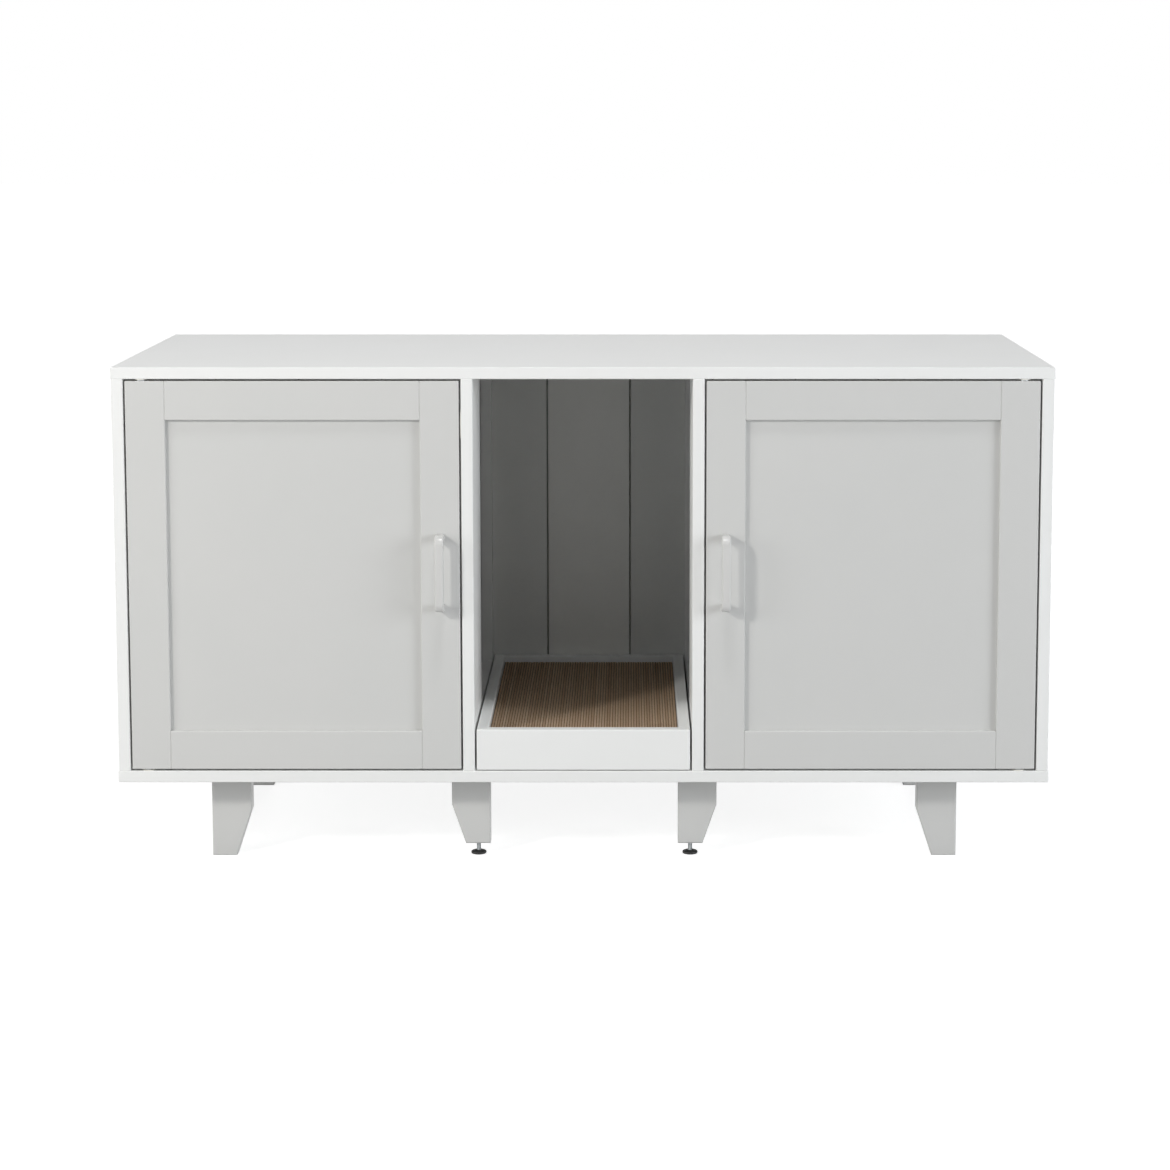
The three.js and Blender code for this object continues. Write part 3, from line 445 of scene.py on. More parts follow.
# The moulded rim of the foot, as (inset, height) in millimetres: a ring to stand on, then a rounded edge.
FOOT_RIM = [
    (2.4, 0), (2.0, 0.3), (0.9, 0.3), (0.25, 0.6), (0, 1.3), (0, 2.6), (0.3, 3.2), (1.2, 3.8), (3.4, 4.2),
]
FOOT_COLLAR_WALL = 1.4 * MM
FOOT_COLLAR_CHAMFER = (0.4 * MM, 0.3 * MM)  # inwards and down
INSERT_LIP = 1.5 * MM
INSERT_LIP_HEIGHT = 1 * MM
INSERT_CHAMFER = 0.2 * MM
INSERT_PITCH = 2 * MM
INSERT_THREAD_DEPTH = 0.6 * MM
for side in ["left", "right"]:
    body = f"leveller_{side}"
    stud = f"leveller_stud_{side}"
    low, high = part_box(stud)
    axis = Matrix.Translation((middle(stud).x, middle(stud).y, 0))
    radius = (high.x - low.x) / 2
    mesh = turned(
        [(0, low.z), (radius - STUD_CHAMFER, low.z)]
        + shank(radius, low.z + STUD_CHAMFER, high.z - STUD_CHAMFER, STUD_PITCH)
        + [(radius - STUD_CHAMFER, high.z), (0, high.z)],
        sides=32,
    )
    cut_thread(mesh, radius, STUD_THREAD_DEPTH, STUD_PITCH)
    mesh.transform(axis)
    fit(f"levelling_stud_{side}", mesh, zinc, body, "zinc", stud)

    foot = f"leveller_foot_{side}"
    low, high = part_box(foot)
    outer = (high.x - low.x) / 2
    bore = radius + STUD_PLAY
    collar = bore + FOOT_COLLAR_WALL
    mesh = turned(
        [(0, 0)]
        + [(outer - inset * MM, height * MM) for inset, height in FOOT_RIM]
        + [
            (collar, high.z - FOOT_COLLAR_CHAMFER[1]), (collar - FOOT_COLLAR_CHAMFER[0], high.z),
            (bore, high.z), (bore, high.z - FOOT_SOCKET), (0, high.z - FOOT_SOCKET),
        ],
        sides=56,
    )
    mesh.transform(axis)
    fit(f"levelling_foot_{side}", mesh, black_plastic, body, "black_plastic", foot)

    insert = f"leveller_insert_{side}"
    low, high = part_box(insert)
    flange = (high.x - low.x) / 2
    outer = flange - INSERT_LIP
    lip_top = low.z + INSERT_LIP_HEIGHT
    mesh = turned(
        [(bore, low.z), (flange - INSERT_CHAMFER, low.z), (flange, low.z + INSERT_CHAMFER), (flange, lip_top)]
        + shank(outer, lip_top, high.z, INSERT_PITCH)
        + [(bore, high.z), (bore, low.z)],
        sides=40,
    )
    cut_thread(mesh, outer, INSERT_THREAD_DEPTH, INSERT_PITCH)
    mesh.transform(axis)
    fit(f"threaded_insert_{side}", mesh, zinc, "carcass", "zinc", insert)

# ---- Doors ----
# Each door is a frame of two stiles and two rails round a thin panel, all of fibreboard, glued up and then
# sprayed with the grey lacquer of the legs. A hairline stays at the joints between rail and stile.
for side in ["left", "right"]:
    for member in ["panel", "rail_lower", "rail_upper", "stile_outer", "stile_inner"]:
        dress(f"door_{member}_{side}", lacquer)

# ---- Door pivots ----
# A bright steel pin with a collar stands in each end of the outer stile and turns in a flanged bush of white
# nylon, let into the top and bottom panels. Nylon is slightly waxy, and a little warmer than the boards.
NYLON_PATCH = 4 * MM
NYLON_GRAIN = 0.5 * MM
NYLON_DEPTH = 0.01 * MM
nylon, tree, shader, place = new_finish("white moulded nylon", linear("#eceae2"), roughness=0.38, ior=1.53)
uneven_gloss(tree, shader, place, 0.32, 0.46, NYLON_PATCH)
grain(tree, shader, place, NYLON_GRAIN, NYLON_DEPTH)

PIN_CHAMFER = 0.5 * MM
PIN_COLLAR_HEIGHT = 1.1 * MM
PIN_COLLAR_CHAMFER = 0.2 * MM
PIN_NOSE = [(0, 0.8), (0.3, 0.25), (0.9, 0)]  # the rounded end of the pin, as (inset, below the end) in mm
BUSH_PLAY = 0.3 * MM
BUSH_WALL = 2 * MM
BUSH_FLANGE_HEIGHT = 1 * MM
BUSH_FLANGE_BEVEL = 0.4 * MM
BUSH_CHAMFER = 0.3 * MM
TURNED_OVER = Matrix.Rotation(math.pi, 4, "X")
for side in ["left", "right"]:
    for end in ["lower", "upper"]:
        pin = f"pivot_pin_{side}_{end}"
        bush = f"pivot_bush_{side}_{end}"
        low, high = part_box(pin)
        collar = (high.x - low.x) / 2
        pin_radius = collar / 2
        stile_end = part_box(f"door_stile_outer_{side}")[0 if end == "lower" else 1].z
        into_stile = abs(stile_end - (high.z if end == "lower" else low.z))
        tip = high.z - low.z - into_stile
        mesh = turned(
            [
                (0, -into_stile), (pin_radius - PIN_CHAMFER, -into_stile),
                (pin_radius, -into_stile + PIN_CHAMFER), (pin_radius, 0), (collar - PIN_COLLAR_CHAMFER, 0),
                (collar, PIN_COLLAR_CHAMFER), (collar, PIN_COLLAR_HEIGHT - PIN_COLLAR_CHAMFER),
                (collar - PIN_COLLAR_CHAMFER, PIN_COLLAR_HEIGHT), (pin_radius, PIN_COLLAR_HEIGHT),
            ]
            + [(pin_radius - inset * MM, tip - below * MM) for inset, below in PIN_NOSE]
            + [(0, tip)],
            sides=48,
        )
        # It is drawn with its nose up, as it stands in the top of the door.
        stand = Matrix.Translation((middle(pin).x, middle(pin).y, stile_end))
        mesh.transform(stand @ TURNED_OVER if end == "lower" else stand)
        fit(f"pivot_pin_turned_{side}_{end}", mesh, zinc, f"door_{side}", "zinc", pin)

        low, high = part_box(bush)
        flange = (high.x - low.x) / 2
        depth = high.z - low.z
        bore = pin_radius + BUSH_PLAY
        barrel = bore + BUSH_WALL
        mesh = turned(
            [
                (bore, 0), (barrel, 0), (barrel, depth - BUSH_FLANGE_HEIGHT),
                (flange, depth - BUSH_FLANGE_HEIGHT), (flange, depth - BUSH_FLANGE_BEVEL),
                (flange - BUSH_CHAMFER, depth), (bore + BUSH_CHAMFER, depth), (bore, depth - BUSH_CHAMFER),
                (bore, 0),
            ],
            sides=48,
        )
        # It is drawn with its flange up, as it sits in the bottom panel.
        stand = Matrix.Translation((middle(bush).x, middle(bush).y, low.z if end == "lower" else high.z))
        mesh.transform(stand if end == "lower" else stand @ TURNED_OVER)
        fit(f"pivot_bush_moulded_{side}_{end}", mesh, nylon, "carcass", "white_plastic", bush)

# ---- Bar handles ----
# A square-cornered bow cast in zinc alloy, with a flat front and well rounded edges, powder coated in the
# grey of the doors. Two machine screws from the back of the door hold it. Powder coat is smoother and
# glossier than the lacquer.
HANDLE_BAR = 8 * MM
HANDLE_OUTER_RADIUS = 11 * MM
HANDLE_INNER_RADIUS = 3 * MM
HANDLE_EDGE = 2.0 * MM
POWDER_PATCH = 12 * MM
POWDER_GRAIN = 1.1 * MM
POWDER_DEPTH = 0.012 * MM
powder_coat, tree, shader, place = new_finish(
    "light grey powder coat", linear("#d3d3d1"), roughness=0.22, ior=1.5
)
uneven_gloss(tree, shader, place, 0.18, 0.26, POWDER_PATCH)
grain(tree, shader, place, POWDER_GRAIN, POWDER_DEPTH)


def arc(x, y, radius, start, end, steps=10):
    """Points along a circular arc, angles in degrees."""
    turns = [math.radians(start + (end - start) * n / steps) for n in range(steps + 1)]
    return [(x + radius * math.cos(t), y + radius * math.sin(t)) for t in turns]


for side in ["left", "right"]:
    handle = f"handle_{side}"
    low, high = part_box(handle)
    half = (high.z - low.z) / 2
    stand = high.y - low.y
    width = high.x - low.x
    bar, outer, inner = HANDLE_BAR, HANDLE_OUTER_RADIUS, HANDLE_INNER_RADIUS
    outline = (
        [(half, 0)]
        + arc(half - outer, stand - outer, outer, 0, 90)
        + arc(-half + outer, stand - outer, outer, 90, 180)
        + [(-half, 0), (-half + bar, 0)]
        + arc(-half + bar + inner, stand - bar - inner, inner, 180, 90)
        + arc(half - bar - inner, stand - bar - inner, inner, 90, 0)
        + [(half - bar, 0)]
    )
    mesh = softened(prism(outline, -width / 2, width / 2), HANDLE_EDGE, segments=4, angle=50)
    # Drawn in length and stand, it is stood up with its length along Z and its bar in front of the door.
    upright = Matrix(((0, 0, 1, 0), (0, -1, 0, 0), (1, 0, 0, 0), (0, 0, 0, 1)))
    mesh.transform(Matrix.Translation((middle(handle).x, high.y, middle(handle).z)) @ upright)
    fit(f"bow_handle_{side}", mesh, powder_coat, f"door_{side}", "handle_coat", handle)

HANDLE_SCREW_PITCH = 0.8 * MM
HANDLE_SCREW_THREAD_DEPTH = 0.35 * MM
HANDLE_SCREW_TIP = 0.4 * MM
HANDLE_SCREW_PLAIN = 10 * MM
PAN_HEAD = [(1, 0), (1, 0.9), (0.95, 1.5), (0.78, 2.1), (0.45, 2.4)]  # (share of the radius, height in mm)
HANDLE_SCREW_RECESS = (2.2 * MM, 0.9 * MM, 0.7 * MM, 3 * MM)
low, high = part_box("handle_screw_left_lower")
head_radius = (high.x - low.x) / 2
shank_radius = head_radius / 2
head_height = PAN_HEAD[-1][1] * MM
reach = high.y - low.y - head_height
handle_screw = screw_model(
    "handle screw",
    [(0, -reach), (shank_radius - HANDLE_SCREW_TIP, -reach)]
    + shank(shank_radius, -reach + HANDLE_SCREW_TIP, -HANDLE_SCREW_PLAIN, HANDLE_SCREW_PITCH)
    + [(shank_radius, 0)]
    + [(head_radius * share, height * MM) for share, height in PAN_HEAD]
    + [(0, head_height)],
    sides=28, radius=shank_radius, thread_depth=HANDLE_SCREW_THREAD_DEPTH, pitch=HANDLE_SCREW_PITCH,
    recess=HANDLE_SCREW_RECESS,
)
for side in ["left", "right"]:
    names = [f"handle_screw_{side}_{end}" for end in ["lower", "upper"]]
    seats = [Vector((middle(n).x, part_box(n)[1].y - head_height, middle(n).z)) for n in names]
    made = driven(handle_screw, seats, (0, 1, 0))
    fit(f"handle_screws_{side}", made, zinc, f"door_{side}", "zinc", *names)
bpy.data.objects.remove(handle_screw)

# ---- Catches and strike plates ----
# A magnetic catch on each partition: a white moulded housing on a thin plate, with a ferrite magnet between
# the ends of two steel pole plates. A zinc plated strike plate on the door faces it, and small countersunk
# screws hold both. Sintered ferrite is nearly black, dull and slightly granular.
HOUSING_DEPTH = 15.2 * MM
HOUSING_HEIGHT = 22 * MM
HOUSING_EDGE = 1.0 * MM
EAR_PLATE = 1.2 * MM
EAR_EDGE = 0.3 * MM
POLE_THICKNESS = 1.2 * MM
POLE_HEIGHT = 18 * MM
POLE_INSET = 2.4 * MM
POLE_STAND = 0.8 * MM
POLE_BITE = 6 * MM
POLE_EDGE = 0.15 * MM
POCKET_DEPTH = 1.2 * MM
POCKET_PLAY = 0.25 * MM
POCKET_OVERCUT = 1 * MM
MAGNET_SINK = 0.2 * MM
MAGNET_SHORTER = 1 * MM
MAGNET_EDGE = 0.2 * MM
STRIKE_CORNER = 2.5 * MM
STRIKE_EDGE = 0.25 * MM
# The small screws: radii of head and shank, and heights from the flat face of the head.
SMALL_HEAD = 2.4 * MM
SMALL_HEAD_DEPTH = 1.3 * MM
SMALL_RIM_HEIGHT = 0.1 * MM
SMALL_SHANK = 1.3 * MM
SMALL_LENGTH = 12 * MM
SMALL_POINT = 2 * MM
SMALL_TIP = 0.4 * MM
SMALL_PITCH = 1.0 * MM
SMALL_THREAD_DEPTH = 0.35 * MM
SMALL_RECESS = (1.3 * MM, 0.55 * MM, -0.8 * MM, 1 * MM)
SMALL_FROM_REAR = 8 * MM
SMALL_PROUD = 0.1 * MM
# The sink in the strike plate, which takes the head of its screw.
SINK_DEPTH = 1.4 * MM
SINK_PLAY = 0.5 * MM
SINK_OVERCUT = 0.3 * MM
FERRITE_FLECK = 1 * MM
FERRITE_GRAIN = 0.4 * MM
FERRITE_DEPTH = 0.02 * MM
ferrite, tree, shader, place = new_finish(
    "sintered ferrite magnet", linear("#2b2b2d"), roughness=0.7, ior=1.6
)
uneven_color(tree, shader, place, "#303032", "#262628", FERRITE_FLECK)
grain(tree, shader, place, FERRITE_GRAIN, FERRITE_DEPTH)


def block(low, high):
    """A mesh of a rectangular block between two opposite corners."""
    (x0, y0, z0), (x1, y1, z1) = low, high
    return prism([(x0, y0), (x1, y0), (x1, y1), (x0, y1)], z0, z1)


def together(*meshes):
    """One mesh that holds several shells."""
    body = bmesh.new()
    for mesh in meshes:
        body.from_mesh(mesh)
    return to_mesh(body)


small_screw = screw_model(
    "small screw",
    [(0, -SMALL_LENGTH), (SMALL_SHANK * 0.4, -SMALL_LENGTH + SMALL_TIP)]
    + shank(SMALL_SHANK, -SMALL_LENGTH + SMALL_POINT, -SMALL_HEAD_DEPTH, SMALL_PITCH)
    + [(SMALL_HEAD, -SMALL_RIM_HEIGHT), (SMALL_HEAD, 0), (0, 0)],
    sides=20, radius=SMALL_SHANK, thread_depth=SMALL_THREAD_DEPTH, pitch=SMALL_PITCH, recess=SMALL_RECESS,
)
for side, out in [("left", -1), ("right", 1)]:
    catch = f"catch_{side}"
    low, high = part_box(catch)
    wall, outer = (high.x, low.x) if out < 0 else (low.x, high.x)
    front = high.y - HOUSING_DEPTH
    z = middle(catch).z
    ears = softened(block((wall, low.y, low.z), (wall + out * EAR_PLATE, high.y, high.z)), EAR_EDGE)
    half = HOUSING_HEIGHT / 2
    housing = softened(block((wall, front, z - half), (outer, high.y, z + half)), HOUSING_EDGE, segments=3)
    half = POLE_HEIGHT / 2
    inner_pole = wall + out * (EAR_PLATE + POLE_INSET)
    outer_pole = outer - out * POLE_INSET
    reveal = out * (POLE_THICKNESS / 2 + POCKET_PLAY)
    pocket = block(
        (inner_pole - reveal, front - POCKET_OVERCUT, z - half - POCKET_PLAY),
        (outer_pole + reveal, front + POCKET_DEPTH, z + half + POCKET_PLAY),
    )
    moulded = together(ears, cut_away(housing, pocket))
    fit(f"catch_housing_{side}", moulded, nylon, "carcass", "white_plastic", catch)

    poles = []
    for x in [inner_pole, outer_pole]:
        lower = (x - POLE_THICKNESS / 2, front - POLE_STAND, z - half)
        upper = (x + POLE_THICKNESS / 2, front + POLE_BITE, z + half)
        poles.append(softened(block(lower, upper), POLE_EDGE))
    fit(f"catch_poles_{side}", together(*poles), zinc, "carcass", "zinc")
    face = out * POLE_THICKNESS / 2
    magnet = block(
        (inner_pole + face, front + MAGNET_SINK, z - half + MAGNET_SHORTER),
        (outer_pole - face, front + POLE_BITE, z + half - MAGNET_SHORTER),
    )
    fit(f"catch_magnet_{side}", softened(magnet, MAGNET_EDGE), ferrite, "carcass", "black_plastic")

    ear = (high.z - low.z - HOUSING_HEIGHT) / 4
    seat_x = wall + out * (EAR_PLATE + SMALL_PROUD)
    seats = [Vector((seat_x, high.y - SMALL_FROM_REAR, height)) for height in [low.z + ear, high.z - ear]]
    fit(f"catch_screws_{side}", driven(small_screw, seats, (out, 0, 0)), zinc, "carcass", "zinc")

    strike = f"strike_plate_{side}"
    low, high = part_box(strike)
    long_side, short_side = (high.z - low.z) / 2 - STRIKE_CORNER, (high.x - low.x) / 2 - STRIKE_CORNER
    outline = []
    for start, x, y in [(0, 1, 1), (90, -1, 1), (180, -1, -1), (270, 1, -1)]:
        outline += arc(x * short_side, y * long_side, STRIKE_CORNER, start, start + 90, steps=6)
    sink = turned(
        [
            (0, -SINK_DEPTH), (SMALL_SHANK, -SINK_DEPTH), (SMALL_HEAD + SINK_PLAY, SINK_OVERCUT),
            (0, SINK_OVERCUT),
        ],
        sides=32,
    )
    seat = Vector((middle(strike).x, high.y, middle(strike).z))
    plate = cut_away(softened(prism(outline, low.y - high.y, 0), STRIKE_EDGE), sink)
    plate.transform(Matrix.Translation(seat) @ Matrix.Rotation(-math.pi / 2, 4, "X"))
    fit(f"strike_plate_pressed_{side}", plate, zinc, f"door_{side}", "zinc", strike)
    fit(f"strike_screw_{side}", driven(small_screw, [seat], (0, 1, 0)), zinc, f"door_{side}", "zinc")
bpy.data.objects.remove(small_screw)

# ---- Tray ----
# Four melamine boards joined into a shallow box, with a thin hardboard base let into grooves on their inner
# faces. Hardboard is brown pressed fibre, flecked and matt, with a smooth upper side.
HARDBOARD_FLECK = 3 * MM
HARDBOARD_GRAIN = 0.8 * MM
HARDBOARD_DEPTH = 0.04 * MM
hardboard, tree, shader, place = new_finish(
    "brown pressed hardboard", linear("#8d6a4a"), roughness=0.62, ior=1.5
)
uneven_color(tree, shader, place, "#977352", "#7f5e40", HARDBOARD_FLECK, detail=6.0)
grain(tree, shader, place, HARDBOARD_GRAIN, HARDBOARD_DEPTH)
for board in ["tray_front", "tray_back", "tray_side_left", "tray_side_right"]:
    dress(board, melamine)
dress("tray_base", hardboard)

# ---- Scratching pad ----
# Strips of single-wall corrugated cardboard, stood on edge and glued side by side, so that the waves of the
# inner paper show from above between straight lines of liner paper. Kraft paper is brown, matt and slightly
# fibrous.
STRIPS = 69
WAVE_PITCH = 8.6 * MM
PAPER = 0.32 * MM
STEPS_PER_WAVE = 6.0
pad_low, pad_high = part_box("scratch_pad")
pad_size = pad_high - pad_low
strip_pitch = pad_size.x / STRIPS

KRAFT_FIBRE = 1.2 * MM
KRAFT_DEPTH = 0.05 * MM
# The width of the band painted darker beside each liner, as painted shade.
LINER_SHADE = 0.6 * MM
kraft, tree, shader, place = new_finish(
    "kraft corrugated cardboard", linear("#c8ae90"), roughness=0.88, ior=1.46
)
# Each strip is cut from a sheet of its own, a little lighter or darker than the next.
across = add_node(tree, "ShaderNodeSeparateXYZ", {"Vector": place}).outputs["X"]
inside = add_node(tree, "ShaderNodeMath", {0: across, 1: pad_low.x}, operation="SUBTRACT").outputs["Value"]
counted = add_node(tree, "ShaderNodeMath", {0: inside, 1: strip_pitch}, operation="DIVIDE").outputs["Value"]
whole = add_node(tree, "ShaderNodeMath", {0: counted}, operation="FLOOR").outputs["Value"]
lot = add_node(tree, "ShaderNodeTexWhiteNoise", {"W": whole}, noise_dimensions="1D")
fibre = add_node(tree, "ShaderNodeTexNoise", {"Vector": place, "Scale": 1 / KRAFT_FIBRE, "Detail": 4.0})
strip_tone = add_node(
    tree, "ShaderNodeMix",
    {"Factor": lot.outputs["Value"], "A": linear("#fbe6cb"), "B": linear("#dcc1a4")}, data_type="RGBA",
)
# The paper beside each liner is painted darker as painted shade, which draws the fine lines along the pad.
from_liner = add_node(tree, "ShaderNodeMath", {0: inside, 1: strip_pitch / 2}, operation="PINGPONG")
outside_liner_shade = add_node(
    tree, "ShaderNodeMapRange",
    {"Value": from_liner.outputs["Value"], "From Min": LINER_SHADE / 2, "From Max": LINER_SHADE},
)
liner_shade_tone = add_node(
    tree, "ShaderNodeMix",
    {"Factor": outside_liner_shade.outputs["Result"], "A": linear("#5d4936"), "B": strip_tone.outputs["Result"]},
    data_type="RGBA",
)
fibre_tone = add_node(
    tree, "ShaderNodeMix",
    {"Factor": fibre.outputs["Fac"], "A": liner_shade_tone.outputs["Result"], "B": linear("#b89b7e")},
    data_type="RGBA",
)
tree.links.new(fibre_tone.outputs["Result"], shader.inputs["Base Color"])
bump = add_node(tree, "ShaderNodeBump", {"Height": fibre.outputs["Fac"], "Distance": KRAFT_DEPTH})
tree.links.new(bump.outputs["Normal"], shader.inputs["Normal"])
# Loose fibres take away the gloss that a smooth face would show at a flat angle.
shader.inputs["Specular IOR Level"].default_value = 0.1

corrugated = bpy.data.node_groups.new("corrugated strips on edge", "GeometryNodeTree")
socket(corrugated, "Corner", "NodeSocketGeometry")
socket(corrugated, "Strip count", "NodeSocketInt")
for size in ["Strip pitch", "Length", "Height", "Wave pitch", "Wave depth", "Paper"]:
    socket(corrugated, size, "NodeSocketFloat")
socket(corrugated, "Cardboard", "NodeSocketMaterial")
socket(corrugated, "Pad", "NodeSocketGeometry", "OUTPUT")
given = add_node(corrugated, "NodeGroupInput").outputs
half_pitch, half_height, half_length = [
    add_node(corrugated, "ShaderNodeMath", {0: given[size], 1: 0.5}, operation="MULTIPLY").outputs["Value"]
    for size in ["Strip pitch", "Height", "Length"]
]
waves = add_node(
    corrugated, "ShaderNodeMath", {0: given["Length"], 1: given["Wave pitch"]}, operation="DIVIDE"
).outputs["Value"]
stations = add_node(
    corrugated, "ShaderNodeMath", {0: waves, 1: STEPS_PER_WAVE}, operation="MULTIPLY"
).outputs["Value"]
# One row of waved sheets, each with its own phase, stands between the liners.
step = add_node(corrugated, "ShaderNodeCombineXYZ", {"X": given["Strip pitch"]}).outputs["Vector"]
first = add_node(corrugated, "ShaderNodeCombineXYZ", {"X": half_pitch, "Z": half_height}).outputs["Vector"]
rows = add_node(
    corrugated, "GeometryNodeMeshLine",
    {"Count": given["Strip count"], "Start Location": first, "Offset": step},
).outputs["Mesh"]
luck = add_node(corrugated, "FunctionNodeRandomValue", {"Max": 2 * math.pi, "Seed": 3}, data_type="FLOAT")
marked = add_node(
    corrugated, "GeometryNodeStoreNamedAttribute",
    {"Geometry": rows, "Name": "phase", "Value": luck.outputs["Value"]}, data_type="FLOAT", domain="POINT",
).outputs["Geometry"]
far = add_node(corrugated, "ShaderNodeCombineXYZ", {"Y": given["Length"]}).outputs["Vector"]
line = add_node(
    corrugated, "GeometryNodeCurvePrimitiveLine", {"Start": (0, 0, 0), "End": far}
).outputs["Curve"]
dotted = add_node(
    corrugated, "GeometryNodeResampleCurve", {"Curve": line, "Count": stations}
).outputs["Curve"]
sheets = add_node(corrugated, "GeometryNodeInstanceOnPoints", {"Points": marked, "Instance": dotted})
loose = add_node(corrugated, "GeometryNodeRealizeInstances", {"Geometry": sheets.outputs["Instances"]})
spot = add_node(corrugated, "GeometryNodeInputPosition").outputs["Position"]
along = add_node(corrugated, "ShaderNodeSeparateXYZ", {"Vector": spot}).outputs["Y"]
phase = add_node(corrugated, "GeometryNodeInputNamedAttribute", {"Name": "phase"}, data_type="FLOAT")
passed = add_node(
    corrugated, "ShaderNodeMath", {0: along, 1: given["Wave pitch"]}, operation="DIVIDE"
).outputs["Value"]
turned_by = add_node(
    corrugated, "ShaderNodeMath",
    {0: passed, 1: 2 * math.pi, 2: phase.outputs["Attribute"]}, operation="MULTIPLY_ADD",
).outputs["Value"]
swing = add_node(corrugated, "ShaderNodeMath", {0: turned_by}, operation="SINE").outputs["Value"]
sway = add_node(
    corrugated, "ShaderNodeMath", {0: swing, 1: given["Wave depth"]}, operation="MULTIPLY"
).outputs["Value"]
shift = add_node(corrugated, "ShaderNodeCombineXYZ", {"X": sway}).outputs["Vector"]
waved = add_node(
    corrugated, "GeometryNodeSetPosition", {"Geometry": loose.outputs["Geometry"], "Offset": shift}
).outputs["Geometry"]
standing = add_node(corrugated, "GeometryNodeSetCurveNormal", {"Curve": waved}, mode="Z_UP").outputs["Curve"]
section = add_node(
    corrugated, "GeometryNodeCurvePrimitiveQuadrilateral",
    {"Width": given["Paper"], "Height": given["Height"]},
).outputs["Curve"]
fluting = add_node(
    corrugated, "GeometryNodeCurveToMesh", {"Curve": standing, "Profile Curve": section, "Fill Caps": True}
).outputs["Mesh"]
# A flat liner stands on each side of every waved sheet, so there is one more liner than strips.
sheet_size = add_node(
    corrugated, "ShaderNodeCombineXYZ", {"X": given["Paper"], "Y": given["Length"], "Z": given["Height"]}
).outputs["Vector"]
liner = add_node(corrugated, "GeometryNodeMeshCube", {"Size": sheet_size}).outputs["Mesh"]
more = add_node(
    corrugated, "ShaderNodeMath", {0: given["Strip count"], 1: 1.0}, operation="ADD"
).outputs["Value"]
liner_start = add_node(
    corrugated, "ShaderNodeCombineXYZ", {"Y": half_length, "Z": half_height}
).outputs["Vector"]
liner_rows = add_node(
    corrugated, "GeometryNodeMeshLine", {"Count": more, "Start Location": liner_start, "Offset": step}
).outputs["Mesh"]
liners = add_node(corrugated, "GeometryNodeInstanceOnPoints", {"Points": liner_rows, "Instance": liner})
pad = add_node(corrugated, "GeometryNodeJoinGeometry")
corrugated.links.new(fluting, pad.inputs["Geometry"])
corrugated.links.new(liners.outputs["Instances"], pad.inputs["Geometry"])
solid = add_node(corrugated, "GeometryNodeRealizeInstances", {"Geometry": pad.outputs["Geometry"]})
papered = add_node(
    corrugated, "GeometryNodeSetMaterial",
    {"Geometry": solid.outputs["Geometry"], "Material": given["Cardboard"]},
)
add_node(corrugated, "NodeGroupOutput", {"Pad": papered.outputs["Geometry"]})

pad_mesh = grown(
    points([(0, 0, 0)]), corrugated, strip_count=STRIPS, strip_pitch=strip_pitch, length=pad_size.y,
    height=pad_size.z, wave_pitch=WAVE_PITCH, wave_depth=strip_pitch / 2 - PAPER / 2, paper=PAPER,
    cardboard=kraft,
)
pad_mesh.transform(Matrix.Translation(pad_low))
fit("corrugated_pad", pad_mesh, kraft, "pad", "corrugated_card", "scratch_pad")
pad_mesh.shade_flat()  # cut paper has flat faces

# ---- Floor and backdrop ----
# A plain pale studio floor that runs back out of sight into a white backdrop. Both are white where the camera
# or a reflection sees them. Near the cabinet the floor glows less, and keeps the cabinet's soft shadow.
FLOOR_REACH = 30.0
NEAR_GLOW = 0.75
GLOW_RISE = (1.0, 3.0)  # the distances between which the glow rises to white
AMBIENT = 0.22
corners = [(-1, -1), (1, -1), (1, 1), (-1, 1)]
floor_mesh = bpy.data.meshes.new("floor")
floor_mesh.from_pydata([(x * FLOOR_REACH, y * FLOOR_REACH, 0) for x, y in corners], [], [(0, 1, 2, 3)])
floor = bpy.data.objects.new("floor", floor_mesh)
bpy.context.scene.collection.objects.link(floor)


def seen_directly(tree):
    """1 where the camera looks, straight or through a reflection or glass, and 0 for light on its way."""
    path = add_node(tree, "ShaderNodeLightPath").outputs
    mirrored = add_node(
        tree, "ShaderNodeMath", {0: path["Is Camera Ray"], 1: path["Is Glossy Ray"]}, operation="MAXIMUM"
    ).outputs["Value"]
    return add_node(
        tree, "ShaderNodeMath", {0: mirrored, 1: path["Is Transmission Ray"]}, operation="MAXIMUM"
    ).outputs["Value"]


studio_floor = bpy.data.materials.new("pale studio floor")
studio_floor.use_nodes = True
tree = studio_floor.node_tree
tree.nodes.clear()
place = add_node(tree, "ShaderNodeTexCoord").outputs["Object"]
away = add_node(tree, "ShaderNodeVectorMath", {0: place}, operation="LENGTH").outputs["Value"]
rise = add_node(
    tree, "ShaderNodeMapRange",
    {"Value": away, "From Min": GLOW_RISE[0], "From Max": GLOW_RISE[1], "To Min": NEAR_GLOW, "To Max": 1.0},
)
strength = add_node(
    tree, "ShaderNodeMath", {0: seen_directly(tree), 1: rise.outputs["Result"]}, operation="MULTIPLY"
)
matt = add_node(tree, "ShaderNodeBsdfDiffuse", {"Color": linear("#c9c9c9")})
glow = add_node(tree, "ShaderNodeEmission", {"Strength": strength.outputs["Value"]})
both = add_node(tree, "ShaderNodeAddShader", {0: matt.outputs["BSDF"], 1: glow.outputs["Emission"]})
add_node(tree, "ShaderNodeOutputMaterial", {"Surface": both.outputs["Shader"]})
floor_mesh.materials.append(studio_floor)

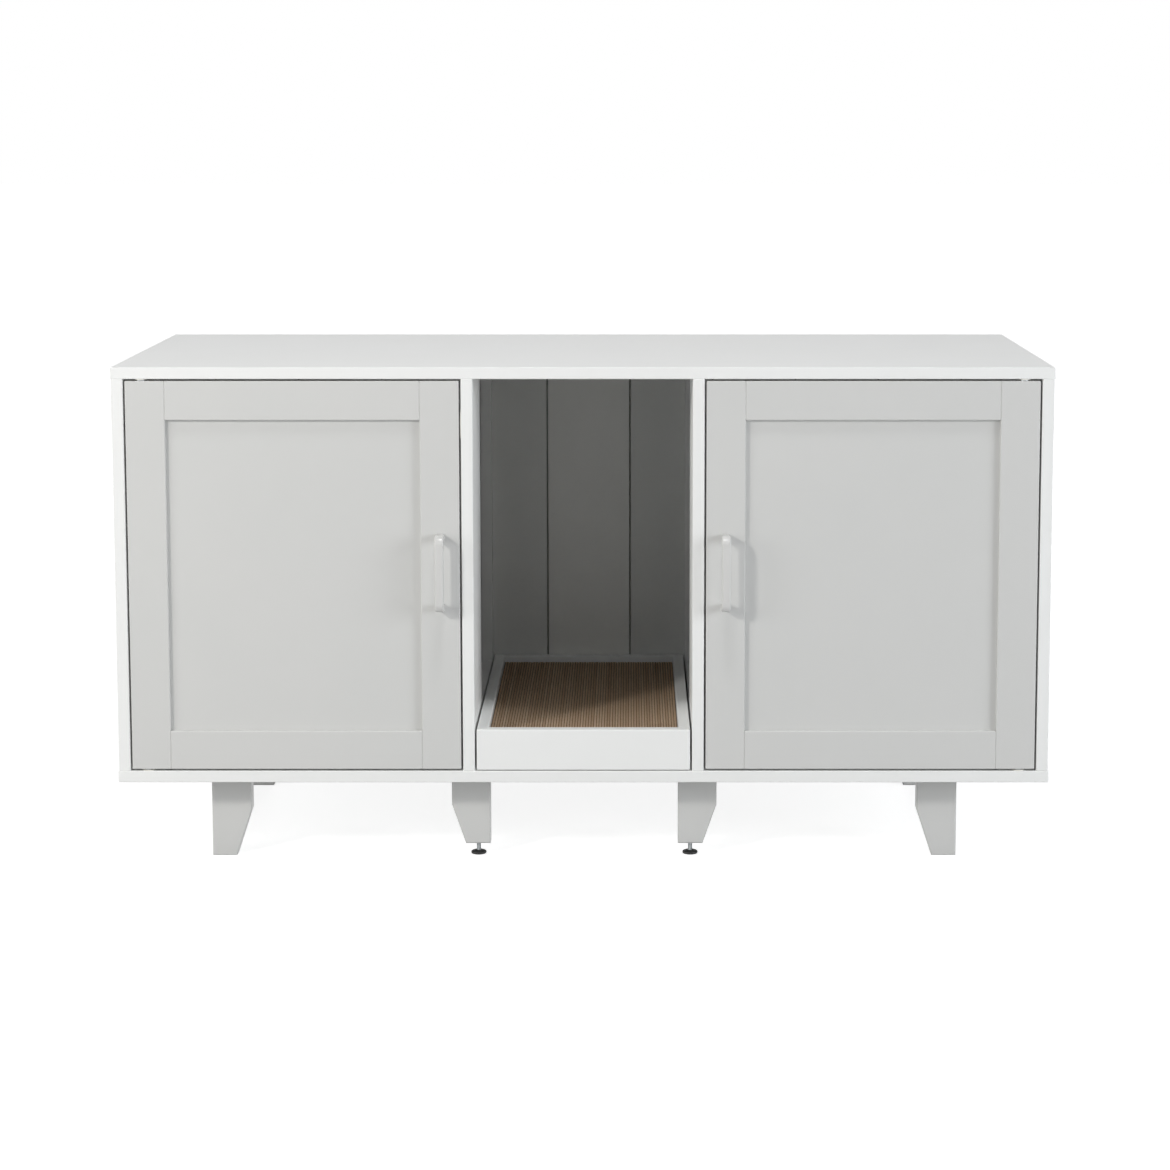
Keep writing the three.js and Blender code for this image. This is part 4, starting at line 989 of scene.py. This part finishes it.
world = bpy.data.worlds.new("white studio")
bpy.context.scene.world = world
world.use_nodes = True
tree = world.node_tree
tree.nodes.clear()
soft = add_node(tree, "ShaderNodeBackground", {"Color": linear("#fbfcff"), "Strength": AMBIENT})
backdrop = add_node(tree, "ShaderNodeBackground", {"Color": linear("#ffffff"), "Strength": 1.0})
mixed = add_node(
    tree, "ShaderNodeMixShader",
    {0: seen_directly(tree), 1: soft.outputs["Background"], 2: backdrop.outputs["Background"]},
)
add_node(tree, "ShaderNodeOutputWorld", {"Surface": mixed.outputs["Shader"]})

# ---- Lamps ----
# Four soft boxes stand before the cabinet: one overhead, a small key to the left that gives the handles their
# soft-edged shadows, and a broad one on each side. A fifth, behind, lights the back and is kept out of
# reflections, where it would glare on the top. A level of 1 lights a white card that faces the box to white.
AIM = Vector((0, 0, 0.4))
for name, azimuth, elevation, distance, size, level, tint in [
    ("overhead soft box", 0, 70, 3.0, 0.5, 0.22, "#ffffff"),
    ("key soft box", -41, 23, 3.4, 0.37, 0.29, "#fffcf7"),
    ("left soft box", -60, 11, 4.5, 1.6, 0.21, "#ffffff"),
    ("right soft box", 60, 11, 4.5, 2.2, 0.46, "#f8fbff"),
    ("rear soft box", 180, 6, 4.5, 1.6, 0.38, "#ffffff"),
]:
    turn, rise = math.radians(azimuth), math.radians(elevation)
    direction = Vector((math.sin(turn) * math.cos(rise), -math.cos(turn) * math.cos(rise), math.sin(rise)))
    lamp = bpy.data.lights.new(name, "AREA")
    lamp.shape = "DISK"
    lamp.size = size
    lamp.energy = level * (math.pi * distance) ** 2
    lamp.color = linear(tint)[:3]
    box = bpy.data.objects.new(name, lamp)
    box.location = AIM + direction * distance
    box.rotation_euler = (-direction).to_track_quat("-Z", "Y").to_euler()
    box.visible_glossy = name != "rear soft box"
    bpy.context.scene.collection.objects.link(box)

# ---- Camera ----
# It looks at the front from just right of the middle, a little above the top, with a long lens shifted down.
CAMERA_PLACE = (0.0603, -3.6484, 0.98)
CAMERA_DOWN = 6.663  # degrees below level
camera_data = bpy.data.cameras.new("camera")
camera_data.lens = 83.2
camera_data.sensor_width = 36.0
camera_data.shift_x = -0.0386
camera_data.shift_y = -0.14
camera_data.clip_end = 100
camera = bpy.data.objects.new("camera", camera_data)
camera.location = CAMERA_PLACE
camera.rotation_euler = (math.radians(90 - CAMERA_DOWN), 0, 0)
bpy.context.scene.collection.objects.link(camera)
bpy.context.scene.camera = camera
bpy.context.scene.view_settings.view_transform = "Standard"
